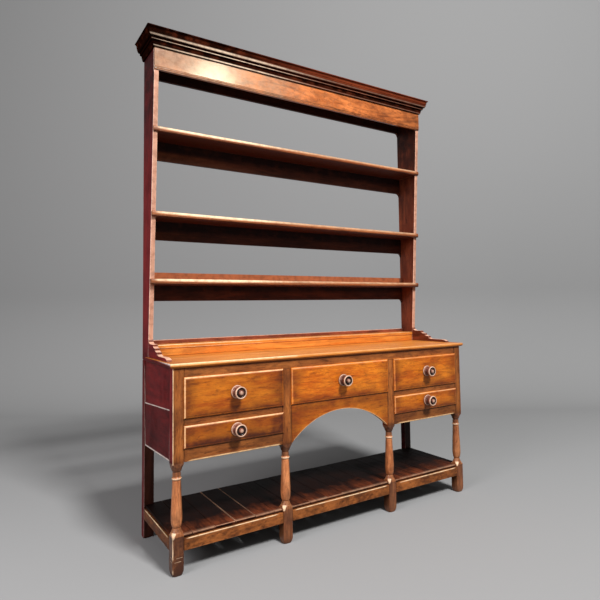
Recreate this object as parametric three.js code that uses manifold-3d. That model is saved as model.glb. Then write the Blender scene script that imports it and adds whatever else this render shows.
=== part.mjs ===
// A welsh dresser: a potboard base with five drawers on turned legs, and an open plate rack.
// Millimetres, +Z up. The front faces -Y. The pieces are placed from the floor, the middle of the
// width and the plane of the front of the legs. At the end the whole is moved along Y, so that its
// origin is on the floor below the middle of its overall depth.

import * as THREE from 'three';
import { mergeVertices } from 'three/addons/utils/BufferGeometryUtils.js';
import Module from 'manifold-3d';

const wasm = await Module();
wasm.setup();

// Driving dimensions of the base
const baseWidth = 1596;
const baseDepth = 445;
const worktopHeight = 800;
const worktopThickness = 18;
const worktopOverhang = 14;
const worktopFace = 11;
const worktopUndercut = 6;
const worktopFrontBoard = 207;
const legSection = 45;
const midLegCentre = 295.5;
const rearPostWidth = 45;
const rearPostDepth = 38;
const railThickness = 20;
const topRailHeight = 40;
const upperOpeningHeight = 154;
const dividerRailHeight = 32;
const lowerOpeningHeight = 82;
const bottomRailHeight = 54;
const dustBoardThickness = 12;
const archRise = 115;
const sideThickness = 18;
const sideRecess = 3;
const sideJointFront = 612;
const sideJointRear = 590;
const sideBottomFront = 417;
const sideBottomRear = 404;
const backThickness = 10;
const backInset = 8;
const backBottom = 452;
const backBoardWidth = 150;
const stretcherTop = 134.5;
const stretcherHeight = 45;
const stretcherThickness = 24;
const stretcherHalving = 11;
const sideStretcherDrop = 4;
const potboardThickness = 12;
const potboardSetback = 12;
const potboardEndSetback = 6;
const potboardRearOverlap = 14;
const potboardFirstBoard = 77;
const potboardBoardWidth = 90;
const boardJointWidth = 3;
const boardJointDepth = 2.5;

// Driving dimensions of the turned legs, all measured up from the floor
const footRounding = 6;
const footBlockTop = 147;
const tongueTop = 172;
const lowGrooveHeight = 176.5;
const columnBottom = 181;
const columnSwell = 218;
const columnTop = 349;
const columnTaper = 1.2;
const columnGrooveFall = 3;
const ringMiddle = 359.5;
const legBeadMiddle = 375.5;
const neckHeight = 385.5;
const shoulderBottom = 389;
const shoulderTop = 418;
const grooveRadius = 15;
const tongueTopRadius = 16.4;
const columnBottomRadius = 17.2;
const columnSwellRadius = 21.8;
const columnTopRadius = 16.7;
const ringRadius = 18.8;
const legBeadRadius = 16.3;
const shoulderRadius = 18;
const ringHeight = 10;
const legBeadHeight = 16;
const legFacets = 20;

// Driving dimensions of the plate rack
const lowShelfRise = 345;
const middleShelfRise = 300;
const highShelfRise = 378;
const friezeRise = 250;
const friezeHeight = 99;
const uprightThickness = 21;
const uprightFootDepth = 96;
const uprightHeadDepth = 173;
const friezeProud = 5;
const friezeThickness = 14;
const beadHeight = 5;
const beadQuirk = 2;
const corniceHeight = 78;
const corniceProjection = 42;
const topBoardThickness = 16;
const rackRailThickness = 15;
const railCornerRadius = 20;
const topRailLift = 23;
const shelfThickness = 26;
const shelfNoseRadius = 9;
const plateGrooveWidth = 6;
const plateGrooveDepth = 3;
const plateGrooveFromRail = 55;
const highShelfProud = 8;
const middleShelfProud = 16;
const lowShelfProud = 25;
const shelfRailDrop = 88;
const shelfRailRise = 19;
const lowShelfRailDrop = 72;
const lowShelfRailRise = 35;
const bottomShelfTop = 50;
const bottomShelfThickness = 16;
const plinthThickness = 16;
const plinthSetback = 4;
const bottomRailRise = 68;
const scrollLength = 273;
const scrollHeight = 80;
const scrollCoveLength = 31;
const scrollCoveHeight = 22;
const scrollLedgeLength = 41;
const scrollTongueHeight = 14;
const scrollTongueLength = 108;
const scrollNoseLength = 40;
const scrollSteps = 3;
const scrollStepDrop = 8;
const scrollStepRun = 4;

// Driving dimensions of the drawers
const lipOverlap = 3.5;
const lipThickness = 5;
const thumbnailWidth = 9;
const fieldStep = 2;
const drawerFrontThickness = 24;
const drawerSideThickness = 10;
const drawerBottomThickness = 8;
const drawerHeadroom = 9;
const drawerSideClearance = 1.5;
const drawerRunClearance = 0.5;
const drawerBackClearance = 18;
const knobAboveCentre = 4;
const knobLength = 48;
const knobRoseRadius = 27;
const knobRimRadius = 25;
const knobNeckRadius = 17;
const knobButtonRadius = 10.5;
const knobTenonRadius = 8;
const knobTenonClearance = 0.3;
const knobFacets = 22;

// Fits
const seat = 0.3;
const overrun = 5;
const arcSteps = 5;

// Places worked out from the driving dimensions
const halfWidth = baseWidth / 2;
const legInner = halfWidth - legSection;
const midLegOuter = midLegCentre + legSection / 2;
const midLegInner = midLegCentre - legSection / 2;
const worktopUnderside = worktopHeight - worktopThickness;
const topRailTop = worktopUnderside - seat;
const upperOpeningTop = topRailTop - topRailHeight;
const upperOpeningBottom = upperOpeningTop - upperOpeningHeight;
const lowerOpeningTop = upperOpeningBottom - dividerRailHeight;
const lowerOpeningBottom = lowerOpeningTop - lowerOpeningHeight;
const railBottom = lowerOpeningBottom - bottomRailHeight;
const backFront = baseDepth - backInset - backThickness;
const uprightInner = halfWidth - uprightThickness;
const uprightFootFront = baseDepth - uprightFootDepth;
const uprightHeadFront = baseDepth - uprightHeadDepth;
const friezeFace = uprightHeadFront - friezeProud;
const rackRailFront = baseDepth - rackRailThickness;
const lowShelfTop = worktopHeight + lowShelfRise;
const middleShelfTop = lowShelfTop + middleShelfRise;
const highShelfTop = middleShelfTop + highShelfRise;
const friezeBottom = highShelfTop + friezeRise;
const corniceBottom = friezeBottom + friezeHeight;
const rackTop = corniceBottom + corniceHeight;
const frontReach = lipThickness + fieldStep * 2 + seat + knobLength;
const potboardBottom = stretcherTop + seat;
const potboardTop = potboardBottom + potboardThickness;

const waxedOak = { color: 0xb5651f, roughness: 0.42, metalness: 0 };
const paleOak = { color: 0xcf8a4c, roughness: 0.45, metalness: 0 };
const darkOak = { color: 0x4c1c18, roughness: 0.5, metalness: 0 };
const mouldingOak = { color: 0x3a150c, roughness: 0.4, metalness: 0 };
const deckOak = { color: 0x4a2415, roughness: 0.55, metalness: 0 };
const bareOak = { color: 0x8a6238, roughness: 0.75, metalness: 0 };
const knobWood = { color: 0x5d4436, roughness: 0.35, metalness: 0 };

const dresser = new THREE.Group();
dresser.name = 'welsh_dresser';

function place(name, geometry, finish, parent = dresser) {
    const mesh = new THREE.Mesh(geometry, new THREE.MeshStandardMaterial(finish));
    mesh.name = name;
    parent.add(mesh);
    return mesh;
}

// Solid cutting and joining

function toSolid(geometry) {
    const bare = geometry.clone();
    bare.deleteAttribute('normal');
    bare.deleteAttribute('uv');
    const merged = mergeVertices(bare);
    return new wasm.Manifold(new wasm.Mesh({
        numProp: 3,
        vertProperties: new Float32Array(merged.attributes.position.array),
        triVerts: new Uint32Array(merged.index.array),
    }));
}

function toGeometry(solid) {
    const mesh = solid.getMesh();
    const geometry = new THREE.BufferGeometry();
    geometry.setAttribute('position', new THREE.BufferAttribute(new Float32Array(mesh.vertProperties), 3));
    geometry.setIndex(new THREE.BufferAttribute(new Uint32Array(mesh.triVerts), 1));
    geometry.computeVertexNormals();
    return geometry;
}

function cut(geometry, ...tools) {
    let solid = toSolid(geometry);
    for (const tool of tools) {
        solid = solid.subtract(toSolid(tool));
    }
    return toGeometry(solid);
}

function common(first, second) {
    return toGeometry(toSolid(first).intersect(toSolid(second)));
}

// Basic forms, placed by their limits along each axis

function block([x0, x1], [y0, y1], [z0, z1]) {
    const geometry = new THREE.BoxGeometry(x1 - x0, y1 - y0, z1 - z0);
    geometry.translate((x0 + x1) / 2, (y0 + y1) / 2, (z0 + z1) / 2);
    return geometry;
}

function extrusion(outline, length) {
    const shape = new THREE.Shape(outline.map(([u, v]) => new THREE.Vector2(u, v)));
    return new THREE.ExtrudeGeometry(shape, { depth: length, bevelEnabled: false });
}

// An outline of (y, z) points run along X
function runAlongX(outline, x0, x1) {
    const geometry = extrusion(outline, x1 - x0);
    geometry.applyMatrix4(new THREE.Matrix4().makeBasis(
        new THREE.Vector3(0, 1, 0), new THREE.Vector3(0, 0, 1), new THREE.Vector3(1, 0, 0)));
    geometry.translate(x0, 0, 0);
    return geometry;
}

// An outline of (x, z) points run along Y
function runAlongY(outline, y0, y1) {
    const geometry = extrusion(outline, y1 - y0);
    geometry.applyMatrix4(new THREE.Matrix4().makeBasis(
        new THREE.Vector3(1, 0, 0), new THREE.Vector3(0, 0, 1), new THREE.Vector3(0, -1, 0)));
    geometry.translate(0, y1, 0);
    return geometry;
}

// A quarter arc from one corner to the other of the box between two points. A hollow arc bends
// towards the corner that it starts along, a round one away from it.
function quarterArc([u0, v0], [u1, v1], alongU, steps = arcSteps) {
    const points = [];
    for (let i = 1; i < steps; i += 1) {
        const angle = (Math.PI / 2) * (i / steps);
        const rise = 1 - Math.cos(angle);
        const run = Math.sin(angle);
        const [du, dv] = alongU ? [run, rise] : [rise, run];
        points.push([u0 + (u1 - u0) * du, v0 + (v1 - v0) * dv]);
    }
    points.push([u1, v1]);
    return points;
}

// The same piece for the other end, with its faces turned to stay outwards
function mirroredX(geometry) {
    const mirrored = geometry.index ? geometry.toNonIndexed() : geometry.clone();
    const position = mirrored.attributes.position;
    for (let i = 0; i < position.count; i += 3) {
        const corners = [i, i + 2, i + 1].map((k) => [-position.getX(k), position.getY(k), position.getZ(k)]);
        corners.forEach((corner, k) => position.setXYZ(i + k, ...corner));
    }
    mirrored.computeVertexNormals();
    return mirrored;
}

// The limits of a place at one end, given for the right end
function atEnd(side, [x0, x1]) {
    return side > 0 ? [x0, x1] : [-x1, -x0];
}

// Turned legs: a square post met by a turning whose radius runs clear of the post at its blocks

function ringProfile(middle, height, radius, root) {
    const points = [];
    const steps = arcSteps + 1;
    for (let i = 0; i <= steps; i += 1) {
        const angle = Math.PI * (i / steps);
        points.push([root + (radius - root) * Math.sin(angle), middle - (height / 2) * Math.cos(angle)]);
    }
    return points;
}

function turnedLeg(top) {
    const clearRadius = legSection;
    const cornerRadius = (legSection / 2) * Math.SQRT2;
    const column = [
        ...quarterArc([columnSwellRadius, columnSwell], [columnBottomRadius, columnBottom], false).reverse(),
        [columnSwellRadius, columnSwell],
    ];
    for (let i = 1; i <= arcSteps; i += 1) {
        const share = i / arcSteps;
        const taper = (columnSwellRadius - columnTopRadius) * share ** columnTaper;
        column.push([columnSwellRadius - taper, columnSwell + (columnTop - columnSwell) * share]);
    }
    const profile = [
        [0, 0],
        [cornerRadius - footRounding, 0],
        [cornerRadius, footRounding],
        [clearRadius, footRounding],
        [clearRadius, footBlockTop],
        [cornerRadius, footBlockTop],
        ...quarterArc([cornerRadius, footBlockTop], [tongueTopRadius, tongueTop], true),
        [grooveRadius, lowGrooveHeight],
        ...column,
        [grooveRadius, columnTop + columnGrooveFall],
        ...ringProfile(ringMiddle, ringHeight, ringRadius, grooveRadius),
        ...ringProfile(legBeadMiddle, legBeadHeight, legBeadRadius, grooveRadius),
        [grooveRadius, neckHeight],
        [shoulderRadius, shoulderBottom],
        [cornerRadius, shoulderTop],
        [clearRadius, shoulderTop],
        [clearRadius, top + overrun],
        [0, top + overrun],
    ];
    const points = profile.map(([r, z]) => new THREE.Vector2(r, z));
    const turning = new THREE.LatheGeometry(points, legFacets);
    turning.rotateX(Math.PI / 2);
    const half = legSection / 2;
    const post = block([-half, half], [-half, half], [0, top]);
    return common(post, turning);
}

function frontLegs() {
    const corner = turnedLeg(topRailTop);
    const middle = turnedLeg(upperOpeningTop - seat);
    const halving = block(
        [-legSection, legSection],
        [stretcherHalving, stretcherThickness + seat],
        [stretcherTop - stretcherHeight - seat, stretcherTop + seat]);
    const legs = [
        ['front_leg_left', corner, -(halfWidth - legSection / 2)],
        ['front_leg_mid_left', middle, -midLegCentre],
        ['front_leg_mid_right', middle, midLegCentre],
        ['front_leg_right', corner, halfWidth - legSection / 2],
    ];
    for (const [name, leg, x] of legs) {
        const standing = leg.clone();
        standing.translate(x, legSection / 2, 0);
        if (leg === middle) {
            const slot = halving.clone();
            slot.translate(x, 0, 0);
            place(name, cut(standing, slot), paleOak);
        } else {
            place(name, standing, paleOak);
        }
    }
}

// Base frame

function rearPosts() {
    const outline = [
        [baseDepth - rearPostDepth + footRounding, 0],
        [baseDepth - footRounding, 0],
        [baseDepth, footRounding],
        [baseDepth, topRailTop],
        [baseDepth - rearPostDepth, topRailTop],
        [baseDepth - rearPostDepth, footRounding],
    ];
    const left = runAlongX(outline, -halfWidth, -halfWidth + rearPostWidth);
    place('rear_post_left', left, darkOak);
    place('rear_post_right', mirroredX(left), darkOak);
}

// Two boards close each end. Their joint and the lower edge run slightly down to the rear.
function endBoards() {
    const front = legSection + seat;
    const rear = baseDepth - rearPostDepth - seat;
    const outer = halfWidth - sideRecess;
    const upper = [
        [front, sideJointFront + seat],
        [rear, sideJointRear + seat],
        [rear, topRailTop],
        [front, topRailTop],
    ];
    const lower = [
        [front, sideBottomFront],
        [rear, sideBottomRear],
        [rear, sideJointRear],
        [front, sideJointFront],
    ];
    const upperLeft = runAlongX(upper, -outer, -outer + sideThickness);
    const lowerLeft = runAlongX(lower, -outer, -outer + sideThickness);
    place('side_board_upper_left', upperLeft, darkOak);
    place('side_board_lower_left', lowerLeft, darkOak);
    place('side_board_upper_right', mirroredX(upperLeft), darkOak);
    place('side_board_lower_right', mirroredX(lowerLeft), darkOak);
}

// A rail across the front with a dust board behind its top edge, which carries a drawer
function railWithDustBoard(x0, x1, bottom, top) {
    const outline = [
        [0, bottom],
        [railThickness, bottom],
        [railThickness, top - dustBoardThickness],
        [backFront - seat, top - dustBoardThickness],
        [backFront - seat, top],
        [0, top],
    ];
    return runAlongX(outline, x0, x1);
}

function frontFrame() {
    place('top_rail',
        block([-legInner + seat, legInner - seat], [0, railThickness], [upperOpeningTop, topRailTop]),
        waxedOak);
    const x0 = -legInner + seat;
    const x1 = -midLegOuter - seat;
    const divider = railWithDustBoard(x0, x1, lowerOpeningTop, upperOpeningBottom);
    const bottom = railWithDustBoard(x0, x1, railBottom, lowerOpeningBottom);
    place('divider_rail_left', divider, waxedOak);
    place('divider_rail_right', mirroredX(divider), waxedOak);
    place('bottom_rail_left', bottom, waxedOak);
    place('bottom_rail_right', mirroredX(bottom), waxedOak);
}

// The apron under the middle drawer, cut to one round arch from leg to leg
function archedApron() {
    const half = midLegInner - seat;
    const radius = (half * half + archRise * archRise) / (2 * archRise);
    const centre = railBottom + archRise - radius;
    const sweep = Math.asin(half / radius);
    const outline = [[-half, upperOpeningBottom], [-half, railBottom]];
    const steps = arcSteps * 4;
    for (let i = 1; i < steps; i += 1) {
        const angle = -sweep + 2 * sweep * (i / steps);
        outline.push([radius * Math.sin(angle), centre + radius * Math.cos(angle)]);
    }
    outline.push([half, railBottom], [half, upperOpeningBottom]);
    place('arched_apron', runAlongY(outline, 0, railThickness), waxedOak);
    place('dust_board_middle',
        block([-half, half], [railThickness + seat, backFront - seat],
            [upperOpeningBottom - dustBoardThickness, upperOpeningBottom]), bareOak);
}

// A panel of boards side by side: an (x, z) or (x, y) outline with a V at every joint on one face
function boardedOutline(x0, x1, joints, low, high, halfJoint, depth) {
    const outline = [[x0, low], [x1, low], [x1, high]];
    for (const joint of [...joints].reverse()) {
        outline.push([joint + halfJoint, high], [joint, high - depth], [joint - halfJoint, high]);
    }
    outline.push([x0, high]);
    return outline;
}

function backBoards() {
    const half = halfWidth - rearPostWidth - seat;
    const joints = [];
    for (let x = -half + backBoardWidth; x < half - backBoardWidth / 2; x += backBoardWidth) {
        joints.push(x);
    }
    const outline = boardedOutline(-half, half, joints, backFront, backFront + backThickness,
        boardJointWidth / 2, boardJointDepth);
    const geometry = extrusion(outline, topRailTop - backBottom);
    geometry.translate(0, 0, backBottom);
    place('back_boards', geometry, bareOak);
}

function stretchers() {
    const bottom = stretcherTop - stretcherHeight;
    const notch = (x) => block([x - legSection / 2 - seat, x + legSection / 2 + seat],
        [-overrun, stretcherHalving + seat], [bottom - overrun, stretcherTop + overrun]);
    const front = block([-legInner + seat, legInner - seat], [0, stretcherThickness], [bottom, stretcherTop]);
    place('front_stretcher', cut(front, notch(-midLegCentre), notch(midLegCentre)), waxedOak);
    const postFront = baseDepth - rearPostDepth;
    const postInner = halfWidth - rearPostWidth;
    place('rear_stretcher',
        block([-postInner + seat, postInner - seat], [postFront, postFront + stretcherThickness],
            [bottom, stretcherTop]), darkOak);
    const side = block([-halfWidth, -halfWidth + stretcherThickness], [legSection + seat, postFront - seat],
        [bottom - sideStretcherDrop, stretcherTop - sideStretcherDrop]);
    place('side_stretcher_left', side, darkOak);
    place('side_stretcher_right', mirroredX(side), darkOak);
}

// Short boards laid front to back on the stretchers, cut round the legs and posts
function potboard() {
    const half = halfWidth - potboardEndSetback;
    const joints = [];
    for (let x = -half + potboardFirstBoard; x < half - potboardBoardWidth / 2; x += potboardBoardWidth) {
        joints.push(x);
    }
    const postFront = baseDepth - rearPostDepth;
    const rear = postFront + potboardRearOverlap;
    const outline = boardedOutline(-half, half, joints, potboardBottom, potboardTop,
        boardJointWidth / 2, boardJointDepth);
    const deck = runAlongY(outline, potboardSetback, rear);
    const tools = [];
    const cutHeight = [potboardBottom - overrun, potboardTop + overrun];
    const legDepth = [-overrun, legSection + seat];
    for (const side of [-1, 1]) {
        tools.push(
            block(atEnd(side, [legInner - seat, halfWidth]), legDepth, cutHeight),
            block(atEnd(side, [midLegInner - seat, midLegOuter + seat]), legDepth, cutHeight),
            block(atEnd(side, [halfWidth - rearPostWidth - seat, halfWidth]),
                [postFront - seat, rear + overrun], cutHeight));
    }
    place('potboard', cut(deck, ...tools), deckOak);
}

// Worktop: two long boards, moulded along the front and the ends and notched for the rack's uprights

function worktop() {
    const outer = halfWidth + worktopOverhang;
    const front = -worktopOverhang;
    const low = worktopUnderside;
    const high = worktopHeight;
    const faceBottom = high - worktopFace;
    const soft = worktopUndercut / 2;
    const nose = (edge, inward) => [
        [edge + inward * worktopUndercut, low],
        [edge, faceBottom],
        [edge, high - soft],
        ...quarterArc([edge, high - soft], [edge + inward * soft, high], false),
    ];
    const endProfile = [...nose(-outer, 1), ...nose(outer, -1).reverse()];
    const joint = front + worktopFrontBoard;
    const easing = boardJointWidth / 2;
    const boards = [
        ['worktop_front', [...nose(front, 1), [joint - easing - seat, high], [joint - seat, high - easing],
            [joint - seat, low]], [front, joint]],
        ['worktop_rear', [[joint, low], [joint, high - easing], [joint + easing, high],
            [baseDepth, high], [baseDepth, low]], [joint, baseDepth]],
    ];
    for (const [name, outline, [y0, y1]] of boards) {
        const lengthwise = runAlongX(outline.slice().reverse(), -outer - overrun, outer + overrun);
        const across = runAlongY(endProfile, y0 - overrun, y1 + overrun);
        const board = common(lengthwise, across);
        const notches = [-1, 1].map((side) => block(
            atEnd(side, [uprightInner - seat, outer + overrun]),
            [uprightFootFront - seat, baseDepth + overrun],
            [low - overrun, high + overrun]));
        place(name, y1 > uprightFootFront ? cut(board, ...notches) : board, waxedOak);
    }
}

// Plate rack

const uprightSlope = (uprightFootFront - uprightHeadFront) / (friezeBottom - worktopHeight);

function uprightFrontAt(height) {
    return uprightFootFront - uprightSlope * (height - worktopHeight);
}

function uprights() {
    const friezeBack = friezeFace + friezeThickness + seat;
    const outline = [
        [uprightFootFront, worktopUnderside],
        [baseDepth, worktopUnderside],
        [baseDepth, rackTop - seat],
        [friezeBack, rackTop - seat],
        [friezeBack, friezeBottom - seat],
        [uprightHeadFront, friezeBottom - seat],
        [uprightFootFront, worktopHeight],
    ];
    const left = runAlongX(outline, -halfWidth, -uprightInner);
    place('rack_upright_left', left, darkOak);
    place('rack_upright_right', mirroredX(left), darkOak);
}

// The foot that steadies each upright: a cove, a ledge, a row of hollow steps and a low tongue
function scrollFeet() {
    const base = worktopHeight + seat;
    const rear = uprightFootFront - seat - uprightSlope * seat;
    const rearTop = uprightFrontAt(base + scrollHeight) - seat;
    const coveTop = [rearTop, base + scrollHeight];
    const coveFront = [rearTop - scrollCoveLength, base + scrollHeight - scrollCoveHeight];
    const ledgeFront = coveFront[0] - scrollLedgeLength;
    const noseFront = uprightFootFront - scrollLength;
    const tongueRear = noseFront + scrollTongueLength;
    const outline = [
        [rear, base],
        coveTop,
        ...quarterArc(coveTop, coveFront, false),
        [ledgeFront, coveFront[1]],
    ];
    const hollowRun = (ledgeFront - tongueRear) / scrollSteps;
    const hollowFall = (scrollHeight - scrollCoveHeight - scrollTongueHeight) / scrollSteps;
    let y = ledgeFront;
    let z = coveFront[1];
    for (let i = 0; i < scrollSteps; i += 1) {
        const stepFoot = [y, z - scrollStepDrop];
        const stepEdge = [y - scrollStepRun, z - scrollStepDrop];
        y -= hollowRun;
        z -= hollowFall;
        outline.push(stepFoot, stepEdge, ...quarterArc(stepEdge, [y, z], false));
    }
    const noseTop = [noseFront + scrollNoseLength, base + scrollTongueHeight];
    outline.push(noseTop, ...quarterArc(noseTop, [noseFront, base], true));
    const left = runAlongX(outline.slice().reverse(), -halfWidth, -uprightInner);
    place('rack_scroll_left', left, darkOak);
    place('rack_scroll_right', mirroredX(left), darkOak);
}

// A rail between the uprights at the back, whose lower edge curves down into them
function rackRail(name, bottom, top, cornered) {
    const half = uprightInner - seat;
    const outline = [[-half, top]];
    if (cornered) {
        const low = bottom - railCornerRadius;
        const left = quarterArc([-half, low], [-half + railCornerRadius, bottom], false);
        const right = quarterArc([half, low], [half - railCornerRadius, bottom], false);
        outline.push([-half, low], ...left, ...right.reverse(), [half, low]);
    } else {
        outline.push([-half, bottom], [half, bottom]);
    }
    outline.push([half, top]);
    place(name, runAlongY(outline, rackRailFront, baseDepth), darkOak);
}

// A shelf with a rounded nose that runs across the fronts of the uprights
function rackShelf(name, top, proud, railDrop, railRise) {
    const bottom = top - shelfThickness;
    const nose = uprightFrontAt(top) - proud;
    const rear = rackRailFront - seat;
    const groove = rear - plateGrooveFromRail;
    const outline = [
        [rear, bottom],
        [rear, top],
        [groove + plateGrooveWidth / 2, top],
        [groove, top - plateGrooveDepth],
        [groove - plateGrooveWidth / 2, top],
        [nose + shelfNoseRadius, top],
        ...quarterArc([nose + shelfNoseRadius, top], [nose, top - shelfNoseRadius], true),
        [nose, bottom + shelfNoseRadius],
        ...quarterArc([nose, bottom + shelfNoseRadius], [nose + shelfNoseRadius, bottom], false),
    ];
    const board = runAlongX(outline.slice().reverse(), -halfWidth, halfWidth);
    const housings = [-1, 1].map((side) => block(
        atEnd(side, [uprightInner - seat, halfWidth + overrun]),
        [uprightFrontAt(top) - seat, baseDepth],
        [bottom - overrun, top + overrun]));
    place(`rack_shelf_${name}`, cut(board, ...housings), waxedOak);
    rackRail(`rack_rail_${name}`, bottom - railDrop, top + railRise, true);
}

// The lowest shelf stands on the worktop on its own plinth
function bottomShelf() {
    const base = worktopHeight + seat;
    const top = worktopHeight + bottomShelfTop;
    const front = uprightFrontAt(top);
    const plinthFront = front + plinthSetback;
    const outline = [
        [plinthFront, base],
        [plinthFront + plinthThickness, base],
        [plinthFront + plinthThickness, top - bottomShelfThickness],
        [rackRailFront - seat, top - bottomShelfThickness],
        [rackRailFront - seat, top],
        [front, top],
        [front, top - bottomShelfThickness],
        [plinthFront, top - bottomShelfThickness],
    ];
    place('rack_shelf_bottom', runAlongX(outline, -uprightInner + seat, uprightInner - seat), waxedOak);
    rackRail('rack_rail_bottom', base, worktopHeight + bottomRailRise, false);
}

function frieze() {
    const back = friezeFace + friezeThickness;
    const beadFace = friezeFace + beadQuirk;
    const outline = [
        [beadFace, friezeBottom],
        [back, friezeBottom],
        [back, rackTop - seat],
        [friezeFace, rackTop - seat],
        [friezeFace, friezeBottom + beadHeight + beadQuirk],
        [beadFace, friezeBottom + beadHeight + beadQuirk / 2],
        [friezeFace, friezeBottom + beadHeight],
        [friezeFace, friezeBottom + beadQuirk],
    ];
    place('frieze', runAlongX(outline, -halfWidth, halfWidth), waxedOak);
}

// Cornice profile as (projection, height) shares of the moulding's own projection and height
const corniceShares = [
    { at: [0, 0] },
    { at: [0.08, 0] },
    { at: [0.22, 0.17], arc: 'round' },
    { at: [0.26, 0.21] },
    { at: [0.36, 0.33], arc: 'hollow' },
    { at: [0.42, 0.33] },
    { at: [0.47, 0.42], arc: 'round' },
    { at: [0.52, 0.46] },
    { at: [0.78, 0.72], arc: 'round' },
    { at: [0.82, 0.75] },
    { at: [0.96, 0.93], arc: 'hollow' },
    { at: [1, 0.93] },
    { at: [1, 1] },
    { at: [0, 1] },
];

function corniceProfile() {
    const points = [];
    for (const { at: [outShare, upShare], arc } of corniceShares) {
        const point = [outShare * corniceProjection, upShare * corniceHeight];
        if (arc) {
            points.push(...quarterArc(points[points.length - 1], point, arc === 'round', arcSteps - 1));
        } else {
            points.push(point);
        }
    }
    return points;
}

// A moulding whose ends are mitred: the further a point projects, the further it runs
function mitredMoulding(profile, startFlare, endFlare, length) {
    const geometry = extrusion(profile, length);
    const position = geometry.attributes.position;
    for (let i = 0; i < position.count; i += 1) {
        const out = position.getX(i);
        const along = position.getZ(i);
        position.setZ(i, along > length / 2 ? along + out * endFlare : along - out * startFlare);
    }
    geometry.computeVertexNormals();
    return geometry;
}

function cornice() {
    const profile = corniceProfile();
    const back = friezeFace - seat;
    const front = mitredMoulding(profile, 1, 1, baseWidth);
    front.applyMatrix4(new THREE.Matrix4().makeBasis(
        new THREE.Vector3(0, -1, 0), new THREE.Vector3(0, 0, 1), new THREE.Vector3(-1, 0, 0)));
    front.translate(halfWidth, back, corniceBottom);
    place('cornice_front', front, mouldingOak);
    const length = baseDepth - back - seat;
    const left = mitredMoulding(profile, 1, 0, length);
    left.applyMatrix4(new THREE.Matrix4().makeBasis(
        new THREE.Vector3(-1, 0, 0), new THREE.Vector3(0, 0, 1), new THREE.Vector3(0, 1, 0)));
    left.translate(-halfWidth - seat, back + seat, corniceBottom);
    place('cornice_left', left, mouldingOak);
    place('cornice_right', mirroredX(left), mouldingOak);
}

function rackTopBoards() {
    const half = uprightInner - seat;
    const friezeBack = friezeFace + friezeThickness + seat;
    place('rack_top_board',
        block([-half, half], [friezeBack, rackRailFront - seat],
            [corniceBottom, corniceBottom + topBoardThickness]), bareOak);
    rackRail('rack_rail_top', friezeBottom + topRailLift, corniceBottom + topBoardThickness, true);
}

// Drawers

// Rectangles of (half width, half height, y) joined in order, closed at both ends
function steppedPanel(rings) {
    const corners = [[-1, -1], [1, -1], [1, 1], [-1, 1]];
    const vertices = [];
    for (const [w, h, y] of rings) {
        for (const [sx, sz] of corners) {
            vertices.push(sx * w, y, sz * h);
        }
    }
    const count = corners.length;
    const index = [];
    for (let ring = 0; ring < rings.length - 1; ring += 1) {
        for (let i = 0; i < count; i += 1) {
            const a = ring * count + i;
            const b = ring * count + ((i + 1) % count);
            index.push(a, b + count, b, a, a + count, b + count);
        }
    }
    const last = (rings.length - 1) * count;
    index.push(0, 1, 2, 0, 2, 3);
    index.push(last, last + 2, last + 1, last, last + 3, last + 2);
    const geometry = new THREE.BufferGeometry();
    geometry.setAttribute('position', new THREE.BufferAttribute(new Float32Array(vertices), 3));
    geometry.setIndex(index);
    geometry.computeVertexNormals();
    return geometry;
}

// The front: a lip with a thumbnail edge over the frame, round a raised field
function drawerFront(openingWidth, openingHeight) {
    const lipWidth = openingWidth / 2 + lipOverlap;
    const lipHeight = openingHeight / 2 + lipOverlap;
    const bodyWidth = openingWidth / 2 - drawerSideClearance;
    const bodyHeight = openingHeight / 2 - drawerSideClearance;
    const faceY = -(lipThickness + fieldStep);
    const backY = drawerFrontThickness + faceY;
    const rings = [
        [lipWidth - thumbnailWidth, lipHeight - thumbnailWidth, faceY - fieldStep],
        [lipWidth - thumbnailWidth, lipHeight - thumbnailWidth, faceY],
    ];
    const edge = quarterArc([thumbnailWidth, faceY], [0, -fieldStep], true);
    for (const [inset, y] of edge) {
        rings.push([lipWidth - inset, lipHeight - inset, y]);
    }
    rings.push([lipWidth, lipHeight, -seat], [bodyWidth, bodyHeight, -seat], [bodyWidth, bodyHeight, backY]);
    const panel = steppedPanel(rings);
    const hole = new THREE.CylinderGeometry(
        knobTenonRadius + knobTenonClearance, knobTenonRadius + knobTenonClearance,
        drawerFrontThickness * 2, knobFacets);
    hole.translate(0, 0, knobAboveCentre);
    return cut(panel, hole);
}

// The box behind the front: two sides, a back and a bottom, open above
function drawerBox(openingWidth, openingHeight) {
    const half = openingWidth / 2 - drawerSideClearance;
    const bottom = -openingHeight / 2 + drawerRunClearance;
    const top = openingHeight / 2 - drawerHeadroom;
    const front = drawerFrontThickness - lipThickness - fieldStep + seat;
    const rear = backFront - drawerBackClearance;
    const outer = block([-half, half], [front, rear], [bottom, top]);
    const inner = block([-half + drawerSideThickness, half - drawerSideThickness],
        [front - overrun, rear - drawerSideThickness], [bottom + drawerBottomThickness, top + overrun]);
    return cut(outer, inner);
}

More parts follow.
